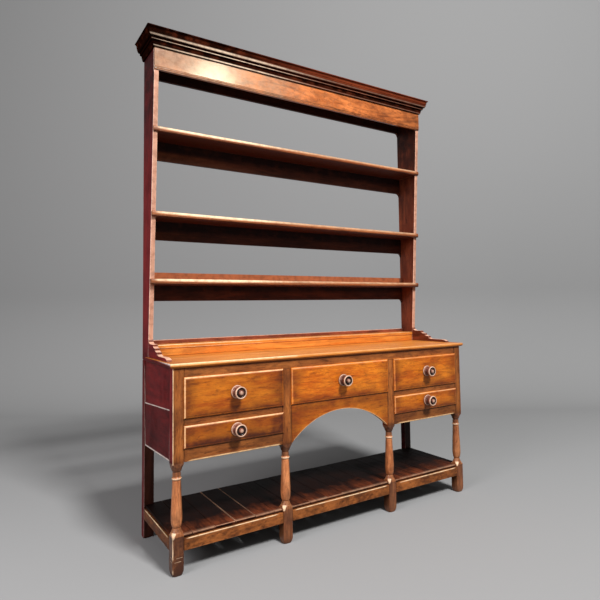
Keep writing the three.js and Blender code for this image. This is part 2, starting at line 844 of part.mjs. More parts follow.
// The turning of a knob from rose to button: a radius, a share of it, and a share of the length out
const knobShares = [
    { radius: knobRoseRadius, wide: 1, out: 0 },
    { radius: knobRoseRadius, wide: 1, out: 0.05 },
    { radius: knobRoseRadius, wide: 0.86, out: 0.12, arc: 'rise' },
    { radius: knobRoseRadius, wide: 0.78, out: 0.13 },
    { radius: knobRoseRadius, wide: 0.72, out: 0.2 },
    { radius: knobNeckRadius, wide: 1, out: 0.3 },
    { radius: knobNeckRadius, wide: 1, out: 0.42 },
    { radius: knobRimRadius, wide: 0.93, out: 0.66, arc: 'rise' },
    { radius: knobRimRadius, wide: 1, out: 0.74 },
    { radius: knobRimRadius, wide: 1, out: 0.83 },
    { radius: knobRimRadius, wide: 0.93, out: 0.9 },
    { radius: knobRimRadius, wide: 0.8, out: 0.91 },
    { radius: knobRimRadius, wide: 0.68, out: 0.83 },
    { radius: knobButtonRadius, wide: 1, out: 0.8 },
    { radius: knobButtonRadius, wide: 1, out: 0.88 },
    { radius: 0, wide: 0, out: 1, arc: 'rise' },
];

function turnedKnob() {
    const tenonEnd = -(drawerFrontThickness - seat * 2);
    const profile = [[0, tenonEnd], [knobTenonRadius, tenonEnd], [knobTenonRadius, 0]];
    for (const { radius, wide, out, arc } of knobShares) {
        const point = [radius * wide, out * knobLength];
        if (arc) {
            profile.push(...quarterArc(profile[profile.length - 1], point, false, arcSteps - 2));
        } else {
            profile.push(point);
        }
    }
    const geometry = new THREE.LatheGeometry(profile.map(([r, h]) => new THREE.Vector2(r, h)), knobFacets);
    geometry.rotateX(Math.PI);
    return geometry;
}

function drawer(name, [x0, x1], [z0, z1]) {
    const group = new THREE.Group();
    group.position.set((x0 + x1) / 2, 0, (z0 + z1) / 2);
    dresser.add(group);
    const width = x1 - x0;
    const height = z1 - z0;
    place(`${name}_front`, drawerFront(width, height), waxedOak, group);
    place(`${name}_box`, drawerBox(width, height), bareOak, group);
    const knob = place(`${name}_knob`, turnedKnob(), knobWood, group);
    knob.position.set(0, -(lipThickness + fieldStep * 2) - seat, knobAboveCentre);
}

function drawers() {
    const upper = [upperOpeningBottom, upperOpeningTop];
    const lower = [lowerOpeningBottom, lowerOpeningTop];
    drawer('drawer_left_upper', [-legInner, -midLegOuter], upper);
    drawer('drawer_left_lower', [-legInner, -midLegOuter], lower);
    drawer('drawer_middle', [-midLegInner, midLegInner], upper);
    drawer('drawer_right_upper', [midLegOuter, legInner], upper);
    drawer('drawer_right_lower', [midLegOuter, legInner], lower);
}

frontLegs();
rearPosts();
endBoards();
frontFrame();
archedApron();
backBoards();
stretchers();
potboard();
worktop();
uprights();
scrollFeet();
rackShelf('high', highShelfTop, highShelfProud, shelfRailDrop, shelfRailRise);
rackShelf('middle', middleShelfTop, middleShelfProud, shelfRailDrop, shelfRailRise);
rackShelf('low', lowShelfTop, lowShelfProud, lowShelfRailDrop, lowShelfRailRise);
bottomShelf();
frieze();
cornice();
rackTopBoards();
drawers();

dresser.position.y = (frontReach - baseDepth) / 2;

export default dresser;
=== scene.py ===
import math
import random

import bmesh
import bpy
from mathutils import Matrix, Vector, noise


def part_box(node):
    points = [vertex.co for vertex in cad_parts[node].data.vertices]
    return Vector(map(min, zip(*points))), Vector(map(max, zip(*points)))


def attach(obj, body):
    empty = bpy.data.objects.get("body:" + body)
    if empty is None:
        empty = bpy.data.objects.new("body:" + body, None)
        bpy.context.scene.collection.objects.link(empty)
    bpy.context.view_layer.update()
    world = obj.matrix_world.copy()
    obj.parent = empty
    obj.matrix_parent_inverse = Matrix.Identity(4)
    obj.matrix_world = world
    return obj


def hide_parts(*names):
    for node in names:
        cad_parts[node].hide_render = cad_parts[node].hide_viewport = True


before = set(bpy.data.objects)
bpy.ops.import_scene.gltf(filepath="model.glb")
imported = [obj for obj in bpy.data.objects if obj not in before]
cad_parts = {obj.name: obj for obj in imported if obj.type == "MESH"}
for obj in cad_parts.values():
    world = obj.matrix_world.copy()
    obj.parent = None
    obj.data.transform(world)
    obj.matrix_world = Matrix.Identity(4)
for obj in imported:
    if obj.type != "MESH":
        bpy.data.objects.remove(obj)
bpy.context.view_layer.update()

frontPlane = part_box("top_rail")[0].y    # front faces of the legs and rails
floorLevel = 0.0

print("Stage: helpers")

mm = 0.001
turn = 2 * math.pi


def paint(red, green, blue):    # a colour as a paint chart gives it, from 0 to 255
    def linear(value):
        share = value / 255
        return share / 12.92 if share <= 0.04045 else ((share + 0.055) / 1.055) ** 2.4
    return (linear(red), linear(green), linear(blue), 1.0)


def addNode(tree, kind, inputs=None, **settings):
    node = tree.nodes.new(kind)
    for key, value in settings.items():
        setattr(node, key, value)
    for key, value in (inputs or {}).items():    # a socket is linked, a plain value is set
        if isinstance(value, bpy.types.NodeSocket):
            tree.links.new(value, node.inputs[key])
        else:
            node.inputs[key].default_value = value
    return node


def calc(tree, operation, first, second=0.0):
    return addNode(tree, "ShaderNodeMath", {0: first, 1: second}, operation=operation).outputs[0]


def times(tree, first, second):
    return calc(tree, "MULTIPLY", first, second)


def plus(tree, first, second):
    return calc(tree, "ADD", first, second)


def spread(tree, value, low, high, toLow=0.0, toHigh=1.0):    # soft step from low to high
    return addNode(tree, "ShaderNodeMapRange", {
        "Value": value, "From Min": low, "From Max": high, "To Min": toLow, "To Max": toHigh,
    }, interpolation_type="SMOOTHSTEP").outputs[0]


def mixColour(tree, factor, first, second):    # inputs 6 and 7 and output 2 are the node's colours
    return addNode(tree, "ShaderNodeMix", {0: factor, 6: first, 7: second}, data_type="RGBA").outputs[2]


def noiseOf(tree, vector, scale, detail=3.0, rough=0.55, distortion=0.0):
    return addNode(tree, "ShaderNodeTexNoise", {
        "Vector": vector, "Scale": scale, "Detail": detail, "Roughness": rough, "Distortion": distortion,
    }).outputs[0]


def clamp(value, low=0.0, high=1.0):
    return max(low, min(high, value))


print("Stage: finishes")

# What a user would change for each finish: colours from the chart, and how strong each layer is
waxedLook = {
    "light": (236, 136, 32), "body": (188, 88, 14), "deep": (80, 28, 6), "edge": (252, 200, 146),
    "clouds": (5, 24), "fleck": 0.62, "figure": 0.15, "mottle": 0.95, "stain": 0.45, "wearAndHighlight": 0.95,
    "rough": 0.38, "coat": 0.1, "shine": 0.35,
}
railLook = {
    "light": (176, 104, 48), "body": (132, 70, 30), "deep": (50, 22, 10), "edge": (250, 204, 150),
    "clouds": (6, 26), "fleck": 0.75, "figure": 0.3, "mottle": 0.9, "stain": 0.5, "wearAndHighlight": 0.95,
    "rough": 0.42, "coat": 0.06, "shine": 0.25,
}
paleLook = {
    "light": (214, 142, 92), "body": (164, 92, 50), "deep": (70, 34, 18), "edge": (255, 218, 178),
    "clouds": (5, 30), "fleck": 0.75, "figure": 0.35, "mottle": 0.8, "stain": 0.5, "wearAndHighlight": 0.95,
    "rough": 0.36, "coat": 0.12, "shine": 0.35,
}
topLook = {
    "light": (250, 168, 74), "body": (222, 124, 42), "deep": (128, 54, 14), "edge": (255, 224, 172),
    "clouds": (3, 34), "fleck": 0.35, "figure": 0.3, "mottle": 0.7, "stain": 0.35, "wearAndHighlight": 1.0,
    "rough": 0.38, "coat": 0.1, "shine": 0.3,
}
shelfLook = {
    "light": (214, 136, 82), "body": (176, 94, 48), "deep": (84, 34, 16), "edge": (255, 226, 184),
    "clouds": (4, 34), "fleck": 0.4, "figure": 0.4, "mottle": 0.7, "stain": 0.4, "wearAndHighlight": 0.95,
    "rough": 0.4, "coat": 0.08, "shine": 0.3,
}
darkLook = {
    "light": (150, 42, 42), "body": (115, 28, 32), "deep": (44, 8, 9), "edge": (255, 236, 226),
    "clouds": (5, 16), "fleck": 0.4, "figure": 0.35, "mottle": 0.8, "stain": 0.4, "wearAndHighlight": 1.0,
    "rough": 0.46, "coat": 0.0, "shine": 0.08,
}
innerLook = {
    "light": (150, 76, 48), "body": (104, 46, 28), "deep": (44, 16, 10), "edge": (246, 190, 160),
    "clouds": (5, 22), "fleck": 0.5, "figure": 0.4, "mottle": 0.9, "stain": 0.5, "wearAndHighlight": 0.95,
    "rough": 0.44, "coat": 0.04, "shine": 0.22,
}
backLook = {
    "light": (104, 54, 36), "body": (64, 30, 21), "deep": (26, 9, 7), "edge": (214, 122, 74),
    "clouds": (4, 26), "fleck": 0.5, "figure": 0.4, "mottle": 0.8, "stain": 0.5, "wearAndHighlight": 0.5,
    "rough": 0.5, "coat": 0.0, "shine": 0.15,
}
mouldingLook = {
    "light": (150, 70, 40), "body": (92, 38, 22), "deep": (10, 3, 2), "edge": (255, 226, 196),
    "clouds": (3, 30), "fleck": 0.3, "figure": 0.3, "mottle": 0.6, "stain": 0.3, "wearAndHighlight": 0.95,
    "rough": 0.36, "coat": 0.0, "shine": 0.0,
}
friezeLook = {
    "light": (226, 130, 66), "body": (160, 84, 38), "deep": (56, 26, 12), "edge": (208, 164, 128),
    "clouds": (6, 13), "fleck": 0.6, "figure": 0.5, "mottle": 1.0, "stain": 0.5, "wearAndHighlight": 0.8,
    "rough": 0.24, "coat": 0.55, "shine": 0.2, "polish": 0.15,
}
deckLook = {
    "light": (142, 70, 38), "body": (58, 26, 16), "deep": (14, 5, 4), "edge": (206, 160, 128),
    "clouds": (6, 24), "fleck": 0.4, "figure": 0.4, "mottle": 0.7, "stain": 0.7, "wearAndHighlight": 0.7,
    "rough": 0.6, "coat": 0.0, "shine": 0.06,
}
stretcherLook = {
    "light": (196, 116, 58), "body": (124, 68, 34), "deep": (40, 20, 12), "edge": (250, 214, 170),
    "clouds": (10, 20), "fleck": 0.8, "figure": 0.4, "mottle": 1.0, "stain": 0.8, "wearAndHighlight": 0.95,
    "rough": 0.5, "coat": 0.0, "shine": 0.2,
}
bareLook = {
    "light": (196, 150, 98), "body": (160, 112, 66), "deep": (96, 60, 32), "edge": (206, 164, 116),
    "clouds": (4, 18), "fleck": 0.5, "figure": 0.4, "mottle": 0.6, "stain": 0.4, "wearAndHighlight": 0.4,
    "rough": 0.62, "coat": 0.0, "shine": 0.2,
}
knobLook = {
    "light": (176, 112, 90), "body": (124, 72, 56), "deep": (20, 7, 5), "edge": (238, 202, 174),
    "clouds": (20, 50), "fleck": 0.2, "figure": 0.2, "mottle": 0.6, "stain": 0.3, "wearAndHighlight": 0.95,
    "rough": 0.3, "coat": 0.06, "shine": 0.35,
}


# Layers that every wood has. "grain" is how many to a metre, with the grain and across it. "noise" is the
# detail, roughness and distortion, after the scale where there is no grain. "range" is where it comes in.
# The mottle and the flecks take their grain from the clouds of each look.
woodLayers = {
    "mottle": {"noise": (6.0, 0.68), "range": (0.34, 0.68)},
    "fleck": {
        "finer": (4, 4.5), "noise": (5.0, 0.7, 0.6), "dark": (0.5, 0.72), "pale": (0.5, 0.3), "paleness": 0.8,
    },
    "warp": {"grain": (1.6, 9), "noise": (2.0, 0.5)},
    "rings": {"to a metre": 34.0, "waver": 9.0, "sharpness": 2.4},
    "breakup": {"grain": (5, 40), "noise": (2.0,), "range": (0.35, 0.65)},
    "fibre": {"grain": (14, 420), "noise": (3.0, 0.7), "range": (0.52, 0.75, 0.0, 0.32)},
    "pore": {"grain": (45, 1300), "noise": (1.0,), "range": (0.6, 0.68), "darkness": 0.4},
    "dents": {"grain": (9, 22), "noise": (2.0, 0.5)},
    "stain": {"noise": (5.5, 5.0, 0.62, 0.4), "range": (0.5, 0.74)},
    "dirt": {"noise": (17.0, 5.0, 0.65), "range": (0.25, 0.7, 0.55, 1.25), "most": 0.96},
    "spots": {"noise": (55.0, 2.0, 0.6), "range": (0.68, 0.76), "darkness": 0.35},
    "rub": {"noise": (38.0, 4.0, 0.65), "range": (0.3, 0.62, 0.55, 1.0), "wearAndHighlight": (0.15, 0.85)},
}
woodSurface = {
    "tone step": 0.22, "mottle gloss": 0.16, "gloss offset": -0.06, "stain gloss": 0.1, "polish": 0.22,
    "fibre height": 0.5, "ring height": 0.3, "pore depth": 0.6,
    "fine bump": (0.35, 0.6 * mm), "dent bump": (0.5, 3 * mm),
}


def woodFinish(name, look):
    material = bpy.data.materials.new(name)
    material.use_nodes = True
    tree = material.node_tree
    tree.nodes.clear()
    surface = woodSurface

    def field(attribute, output="Fac"):
        return addNode(tree, "ShaderNodeAttribute", attribute_name=attribute).outputs[output]

    grain = field("grainAt", "Vector")
    place = addNode(tree, "ShaderNodeTexCoord").outputs["Object"]
    light, body, deep, edge = (paint(*look[key]) for key in ("light", "body", "deep", "edge"))

    def noiseLayer(key, grainScale=None):    # drawn out along the grain, or the same all ways
        layer = woodLayers[key]
        scale = grainScale or layer.get("grain")
        if not scale:
            return noiseOf(tree, place, *layer["noise"])
        lengthways, across = scale
        drawn = addNode(tree, "ShaderNodeVectorMath", {0: grain, 1: (lengthways, across, across)},
                        operation="MULTIPLY").outputs[0]
        return noiseOf(tree, drawn, 1.0, *layer["noise"])

    def within(key, value):
        return spread(tree, value, *woodLayers[key]["range"])

    # broad clouds of colour and flecks
    slow, quick = look["clouds"]    # clouds in a metre, with the grain and across it
    mottle = noiseLayer("mottle", (slow, quick))
    colour = mixColour(tree, times(tree, within("mottle", mottle), look["mottle"]), body, light)
    flecks = woodLayers["fleck"]
    fleck = noiseLayer("fleck", (slow * flecks["finer"][0], quick * flecks["finer"][1]))
    darkFleck = spread(tree, fleck, *flecks["dark"], 0.0, look["fleck"])
    paleFleck = spread(tree, fleck, *flecks["pale"], 0.0, look["fleck"] * flecks["paleness"])
    colour = mixColour(tree, darkFleck, colour, deep)
    colour = mixColour(tree, paleFleck, colour, light)

    # year rings, then fibres and pores
    rings = woodLayers["rings"]
    across = addNode(tree, "ShaderNodeSeparateXYZ", {0: grain}).outputs[1]
    straight = times(tree, across, rings["to a metre"])
    phase = times(tree, plus(tree, straight, times(tree, noiseLayer("warp"), rings["waver"])), turn)
    wave = plus(tree, times(tree, calc(tree, "SINE", phase), 0.5), 0.5)
    ringLine = calc(tree, "POWER", wave, rings["sharpness"])
    broken = times(tree, ringLine, within("breakup", noiseLayer("breakup")))
    colour = mixColour(tree, times(tree, broken, look["figure"]), colour, deep)
    fibre = noiseLayer("fibre")
    colour = mixColour(tree, within("fibre", fibre), colour, deep)
    pore = within("pore", noiseLayer("pore"))
    colour = mixColour(tree, times(tree, pore, woodLayers["pore"]["darkness"]), colour, deep)

    # stains and old wax in patches, then the tone of each board
    stain = within("stain", noiseLayer("stain"))
    colour = mixColour(tree, times(tree, stain, look["stain"]), colour, deep)
    # dirt, and painted shade where the pieces put it, darken the colour towards deep
    dirt = times(tree, field("grimeAndShade"), within("dirt", noiseLayer("dirt")))
    colour = mixColour(tree, calc(tree, "MINIMUM", dirt, woodLayers["dirt"]["most"]), colour, deep)
    spots = within("spots", noiseLayer("spots"))
    colour = mixColour(tree, times(tree, spots, woodLayers["spots"]["darkness"]), colour, deep)
    value = plus(tree, times(tree, field("tone"), surface["tone step"]), 1.0)
    colour = addNode(tree, "ShaderNodeHueSaturation", {"Value": value, "Color": colour}).outputs[0]

    # edges rubbed pale by hands and cloths, in an uneven line; the same pale colour paints highlights too
    rub = within("rub", noiseLayer("rub"))
    reached = spread(tree, field("wearAndHighlight"), *woodLayers["rub"]["wearAndHighlight"])
    colour = mixColour(tree, times(tree, times(tree, reached, rub), look["wearAndHighlight"]), colour, edge)

    gloss = plus(tree, times(tree, mottle, surface["mottle gloss"]), look["rough"] + surface["gloss offset"])
    gloss = plus(tree, gloss, times(tree, stain, surface["stain gloss"]))
    fibreHeight = times(tree, fibre, surface["fibre height"])
    height = plus(tree, fibreHeight, times(tree, ringLine, surface["ring height"]))
    height = calc(tree, "SUBTRACT", height, times(tree, pore, surface["pore depth"]))
    bump = None
    for key, relief in (("fine bump", height), ("dent bump", noiseLayer("dents"))):
        strength, distance = surface[key]
        inputs = {"Strength": strength, "Distance": distance, "Height": relief}
        if bump:
            inputs["Normal"] = bump
        bump = addNode(tree, "ShaderNodeBump", inputs).outputs[0]

    shader = addNode(tree, "ShaderNodeBsdfPrincipled", {
        "Base Color": colour, "Roughness": gloss, "Normal": bump, "Coat Weight": look["coat"],
        "Coat Roughness": look.get("polish", surface["polish"]), "Specular IOR Level": look["shine"],
    })
    addNode(tree, "ShaderNodeOutputMaterial", {"Surface": shader.outputs[0]})
    return material


finishes = {
    "waxed": (woodFinish("waxedFront", waxedLook), "waxed_oak"),
    "rail": (woodFinish("brownRail", railLook), "waxed_oak"),
    "shelf": (woodFinish("shelfBoards", shelfLook), "waxed_oak"),
    "pale": (woodFinish("rubbedLeg", paleLook), "pale_oak"),
    "top": (woodFinish("worktopBoards", topLook), "waxed_oak"),
    "dark": (woodFinish("darkEnd", darkLook), "dark_oak"),
    "inner": (woodFinish("redBrown", innerLook), "dark_oak"),
    "back": (woodFinish("darkBack", backLook), "dark_oak"),
    "stretcher": (woodFinish("scuffedBrown", stretcherLook), "waxed_oak"),
    "moulding": (woodFinish("cornicePolish", mouldingLook), "moulding_oak"),
    "frieze": (woodFinish("figuredFrieze", friezeLook), "waxed_oak"),
    "deck": (woodFinish("potboardWood", deckLook), "deck_oak"),
    "bare": (woodFinish("bareWood", bareLook), "bare_oak"),
    "knob": (woodFinish("knobPolish", knobLook), "knob_wood"),
}

print("Stage: shaping tools")

weldDistance = 0.01 * mm
flatAngle = math.radians(1)
broadFace = 3.5    # a face gets a worn band where it is this many bands wide
flatFaceWeight = 80
grainRange = 20    # metres of grain, out of which each board gets its own place


def fromNode(name):    # the solid of a CAD node, with its flat faces whole
    mesh = bmesh.new()
    mesh.from_mesh(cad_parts[name].data)
    bmesh.ops.remove_doubles(mesh, verts=mesh.verts, dist=weldDistance)
    bmesh.ops.dissolve_limit(mesh, angle_limit=flatAngle, verts=mesh.verts, edges=mesh.edges)
    return mesh


def joinLoops(mesh, first, second):    # a band of faces between two closed rows of points
    count = len(first)
    for i in range(count):
        k = (i + 1) % count
        mesh.faces.new((first[i], first[k], second[k], second[i]))


def fromOutline(outline, along, start, end, rings=1):    # an outline run along an axis
    mesh = bmesh.new()
    loops = []
    for ring in range(rings + 1):
        at = start + (end - start) * ring / rings
        loops.append([mesh.verts.new({
            "X": (at, u, v), "Y": (u, at, v), "Z": (u, v, at)}[along]) for u, v in outline])
    for low, high in zip(loops, loops[1:]):
        joinLoops(mesh, low, high)
    mesh.faces.new(loops[0])
    mesh.faces.new(loops[-1])
    bmesh.ops.recalc_face_normals(mesh, faces=mesh.faces)
    return mesh


def cutAt(mesh, along, place):    # one row of points across the whole mesh
    axis = "XYZ".index(along)
    point, normal = Vector(), Vector()
    point[axis], normal[axis] = place, 1
    everything = mesh.verts[:] + mesh.edges[:] + mesh.faces[:]
    bmesh.ops.bisect_plane(mesh, geom=everything, plane_co=point, plane_no=normal)


def crossCut(mesh, along, step):    # cross cuts, so that a long board can be uneven
    axis = "XYZ".index(along)
    places = [v.co[axis] for v in mesh.verts]
    low, high = min(places), max(places)
    count = int((high - low) / step)
    for i in range(1, count):
        cutAt(mesh, along, low + (high - low) * i / count)


def floatLayer(mesh, name):
    return mesh.verts.layers.float.get(name) or mesh.verts.layers.float.new(name)


def soften(mesh, width, segments=3, sharp=28, band=0.0, border=0.35):
    # rounds the edges that turn by more than sharp, and marks them pale: wear, and painted highlight
    layer = floatLayer(mesh, "wearAndHighlight")
    edges = [e for e in mesh.edges if len(e.link_faces) == 2 and e.calc_face_angle(0) > math.radians(sharp)]
    made = bmesh.ops.bevel(mesh, geom=edges, offset=width, segments=segments, profile=0.5,
                           affect="EDGES", clamp_overlap=True)
    rounded = set(made["faces"])
    for vert in mesh.verts:
        touching = [face in rounded for face in vert.link_faces]
        beside = border if band and any(touching) else 0.0
        vert[layer] = 1.0 if touching and all(touching) else beside
    if band:    # the wear fades out over a band beside each edge
        broad = [f for f in mesh.faces if f not in rounded
                 and f.calc_area() > broadFace * band * max(e.calc_length() for e in f.edges)]
        bmesh.ops.inset_region(mesh, faces=broad, thickness=band, use_even_offset=True)
        for vert in {v for f in broad for v in f.verts}:
            vert[layer] = 0.0


# Hand planed faces and nibbled edges: how many to a metre, and how far the noise shifts with each seed
unevenLook = {"waves": 6, "nibbles": 45, "nibble sharpness": 1.5, "seed shift": (0.37, 0.71, 0.13)}


def unevenness(mesh, seed, surface=0.4 * mm, edge=1.2 * mm):    # never outwards
    look = unevenLook
    layer = floatLayer(mesh, "wearAndHighlight")
    mesh.normal_update()
    shift = Vector(look["seed shift"]) * seed
    moves = []
    for vert in mesh.verts:
        broad = 0.5 + 0.5 * noise.noise(vert.co * look["waves"] + shift)
        nibble = max(0.0, noise.noise(vert.co * look["nibbles"] + shift)) ** look["nibble sharpness"]
        moves.append((vert, -vert.normal * (surface * broad + edge * nibble * vert[layer])))
    for vert, move in moves:
        vert.co += move


# how a point is turned so that the grain runs along the first of its three numbers
grainTurns = {"X": lambda p: (p.x, p.y, p.z), "Y": lambda p: (p.y, p.x, p.z), "Z": lambda p: (p.z, p.x, p.y)}


def addPiece(name, mesh, body, finish, along="X", nodes=(), tone=None, offset=None):
    material, slot = finishes[finish]
    chance = random.Random(name)
    shift = Vector(offset) if offset else Vector([chance.uniform(0, grainRange) for _ in range(3)])
    shade = chance.uniform(-1, 1) if tone is None else tone
    data = bpy.data.meshes.new(name)
    wearLayer, toneLayer = floatLayer(mesh, "wearAndHighlight"), floatLayer(mesh, "tone")
    floatLayer(mesh, "grimeAndShade")
    for vert in mesh.verts:
        if vert[toneLayer] == 0:    # where the piece gave no tone
            vert[toneLayer] = shade
        vert[wearLayer] = min(1.0, vert[wearLayer])
    mesh.to_mesh(data)
    mesh.free()
    field = data.attributes.new("grainAt", "FLOAT_VECTOR", "POINT")
    placed = grainTurns[along]
    values = []
    for vert in data.vertices:
        values.extend(Vector(placed(vert.co)) + shift)
    field.data.foreach_set("vector", values)
    data.shade_smooth()
    data.materials.append(material)
    piece = bpy.data.objects.new(name, data)
    bpy.context.scene.collection.objects.link(piece)
    weighted = piece.modifiers.new("flatFaces", "WEIGHTED_NORMAL")
    weighted.weight = flatFaceWeight
    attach(piece, body)
    if nodes:
        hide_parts(*nodes)
    return piece


def arc(first, second, alongFirst, steps=10):    # quarter of an ellipse between two points
    points = []
    for i in range(1, steps + 1):
        angle = math.pi / 2 * i / steps
        rise, run = 1 - math.cos(angle), math.sin(angle)
        du, dv = (run, rise) if alongFirst else (rise, run)
        points.append((first[0] + (second[0] - first[0]) * du, first[1] + (second[1] - first[1]) * dv))
    return points


# What a board has unless its own values say otherwise
plainBoard = {
    "along": "X", "edge": 3 * mm, "cut": 30 * mm, "rough": 0.4 * mm,    # grain, rounding, cuts, roughness
    "band": 2.5 * mm, "border": 0.35,    # how wide and how pale the wear beside an edge is
    # how strong that wear is, the least wear and painted light, and the least dirt and painted shade:
    # a number, or a function of the place as shares of the board's box and of the way that the surface faces
    "rub": 1.0, "worn": 0.0, "dirt": 0.0,
    "ends": 0.05, "end margin": 1 * mm,    # what is left of the wear near both ends
    "end dirt": 0.45, "end dirt reach": 70 * mm,
    "levels": (), "quirk": None, "tone": None,    # a tone of None is drawn at random
}


def boardFromNode(node, name, shape, body="dresser", **changes):
    board = {**plainBoard, **shape, **changes}
    along = board["along"]
    mesh = fromNode(node)
    crossCut(mesh, along, board["cut"])
    for level in board["levels"]:    # rows of points where the colour changes up the board
        cutAt(mesh, "Z", level)
    soften(mesh, board["edge"], band=board["band"], border=board["border"])
    low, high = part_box(node)
    if board["quirk"]:
        pressQuirk(mesh, low, board["quirk"])
    seed = len(name) + ord(name[-1])
    unevenness(mesh, seed, board["rough"])
    mesh.normal_update()
    wearAndHighlight, grimeAndShade = floatLayer(mesh, "wearAndHighlight"), floatLayer(mesh, "grimeAndShade")
    axis = "XYZ".index(along)
    for vert in mesh.verts:
        share = Vector([(vert.co[i] - low[i]) / (high[i] - low[i]) for i in range(3)])
        rules = [board[key] for key in ("rub", "worn", "dirt")]
        rub, worn, dirt = [rule(share, vert.normal) if callable(rule) else rule for rule in rules]
        vert[wearAndHighlight] = max(vert[wearAndHighlight] * rub, worn)
        toEnd = min(vert.co[axis] - low[axis], high[axis] - vert.co[axis])
        if toEnd < board["edge"] + board["band"] + board["end margin"]:
            vert[wearAndHighlight] *= board["ends"]
        endDirt = board["end dirt"] * max(0.0, 1 - toEnd / board["end dirt reach"])
        vert[grimeAndShade] = max(endDirt, dirt)
    return addPiece(name, mesh, body, board["finish"], along, [node], board["tone"])


def pressQuirk(mesh, low, quirk):    # a small V pressed along the front of a nose
    middle = low.z + quirk["height"]
    for z in (middle - quirk["half width"], middle, middle + quirk["half width"]):
        cutAt(mesh, "Z", z)
    for vert in mesh.verts:
        if abs(vert.co.z - middle) < quirk["tolerance"] and vert.co.y < low.y + quirk["reach"]:
            vert.co.y += quirk["depth"]


def coverFaces(piece, finish, test):    # faces that pass the test get another finish
    piece.data.materials.append(finishes[finish][0])
    for polygon in piece.data.polygons:
        if test(polygon.normal, polygon.center):
            polygon.material_index = len(piece.data.materials) - 1


print("Stage: turned legs")

legShape = {
    "block top": 418 * mm, "corner rounding": 3 * mm, "foot wear": 8 * mm, "foot wear height": 25 * mm,
    "steps round": 96, "step up": 1.3 * mm, "stile step": 25 * mm, "foot block": 147 * mm,
    "tongue top": 172 * mm, "tongue radius": 16.4 * mm, "tongue roundness": 0.45, "end wear": 1 * mm,
    "nibble": 1.2 * mm, "nibbles": 40, "nibble sharpness": 1.4, "waviness": 0.3 * mm, "waves": 8,
    "corner from": 1.22, "corner fade": 0.12,    # how far out a corner starts, against the side of the post
    "first stile ring": 2 * mm, "next stile ring": 20 * mm,
    "foot rings": (0, 2, 5, 9, 15, 22, 30, 45, 60, 75, 90, 105, 118, 130, 138, 143),    # heights in mm
    # places up the leg and the turned radius there, between the square blocks
    "turning": [
        (172, 16.4), (174, 15.4), (176.5, 14.8), (178.5, 15.4), (180, 16.8), (183, 18), (188, 19.4),
        (195, 20.5), (205, 21.4), (215, 21.8), (228, 21.6), (245, 20.9), (262, 20.2), (285, 19.2),
        (310, 18.1), (330, 17.3), (347, 16.7), (351, 16), (352.5, 15.7), (354, 16.2), (355.5, 17.6),
        (358, 18.6), (360, 18.8), (362, 18.4), (364, 16.9), (366, 15.3), (368, 15.5), (371, 15.9),
        (375, 16.1), (379, 15.9), (382, 15.5), (385, 14.8), (386.5, 15.2), (388, 17.2), (391, 18.6),
        (395, 19.8), (399, 21.2), (404, 23.6), (410, 27.2), (416, 30.6),
    ],
}


# Where hands and feet have rubbed the legs, where the dirt stayed, and where painted shade and a painted
# glint lie. Faces are in degrees from +X
legWearAndLight = {
    # how light each leg is: its turning, its foot block and its stile
    "tones": {
        "turnedLeg_left": (1.1, -0.8, 0.8), "turnedLeg_mid_left": (1.9, -0.7, 0.9),
        "turnedLeg_mid_right": (0.7, -0.5, 1.0), "turnedLeg_right": (-0.6, -0.4, -0.3),
    },
    "turning from": 180 * mm, "turning to": 366 * mm,
    "arris": {"turnedLeg_left": 0.9}, "other arrises": 0.15,    # how pale the corner is that people pass
    "arris faces": 215, "arris sharpness": 3, "whole arris from": 300 * mm, "arris patches": (0.35, 1.6, 30),
    "scratches": {"turnedLeg_left": (54, 68)},    # heights in mm where the foot has been struck
    "scratch": 0.75, "scratch half width": 1.6 * mm, "scratch faces": 235, "scratch width": 0.3,
    "scratch breaks": (60, -0.15),
    "ring": (352 * mm, 368 * mm), "ring rubbed from": 17.6 * mm, "ring fade": 1 * mm,
    # a painted glint: a bright facet on the block's front corner, wide at its top
    "facet": {
        "from": 142 * mm, "height": 19 * mm, "faces": 225, "narrow": 0.02, "widening": 0.12, "strength": 1.3,
    },
    "foot dirt": {"turnedLeg_left": 0.95}, "other foot dirt": 0.62, "foot dirt to": 146 * mm,
    "tongue dirt": 0.5, "tongue darkening from": 160 * mm, "tongue darkening fade": 50 * mm,
    # darker round the neck, under the rails
    "neck darkening": 0.75, "neck": 405 * mm, "neck fade": 27 * mm, "neck top": 1.6,
    # painted shade: the stiles darken under the worktop and towards their corners
    "stile top": 790 * mm, "stile top shade": 0.3, "stile top fade": 70 * mm,
    "stile side shade": 0.6, "stile sides from": 450 * mm, "stile side fade": 1.3,
    # painted shade darkens the sides of the columns, away from their fronts; dirt lies in patches low down
    "column": (180 * mm, 352 * mm), "column faces": 236, "pale width": 0.5, "column side shade": 1.1,
    "column most": 0.85, "patches": 34, "patch top": 1.4, "patch fade": 70 * mm,
    "turned away": 0.1 * mm,    # a corner that has lost more than this is no corner
}


def squareRadius(angle, size, rounding):    # from the middle of a square post to its side or rounded corner
    c, s = abs(math.cos(angle)), abs(math.sin(angle))
    inner = size - rounding
    flat = size / max(c, s)
    if min(c, s) * flat <= inner:
        return flat
    along = (c + s) * inner    # meets the rounding at the corner
    return along + math.sqrt(max(along * along - (2 * inner * inner - rounding * rounding), 0))


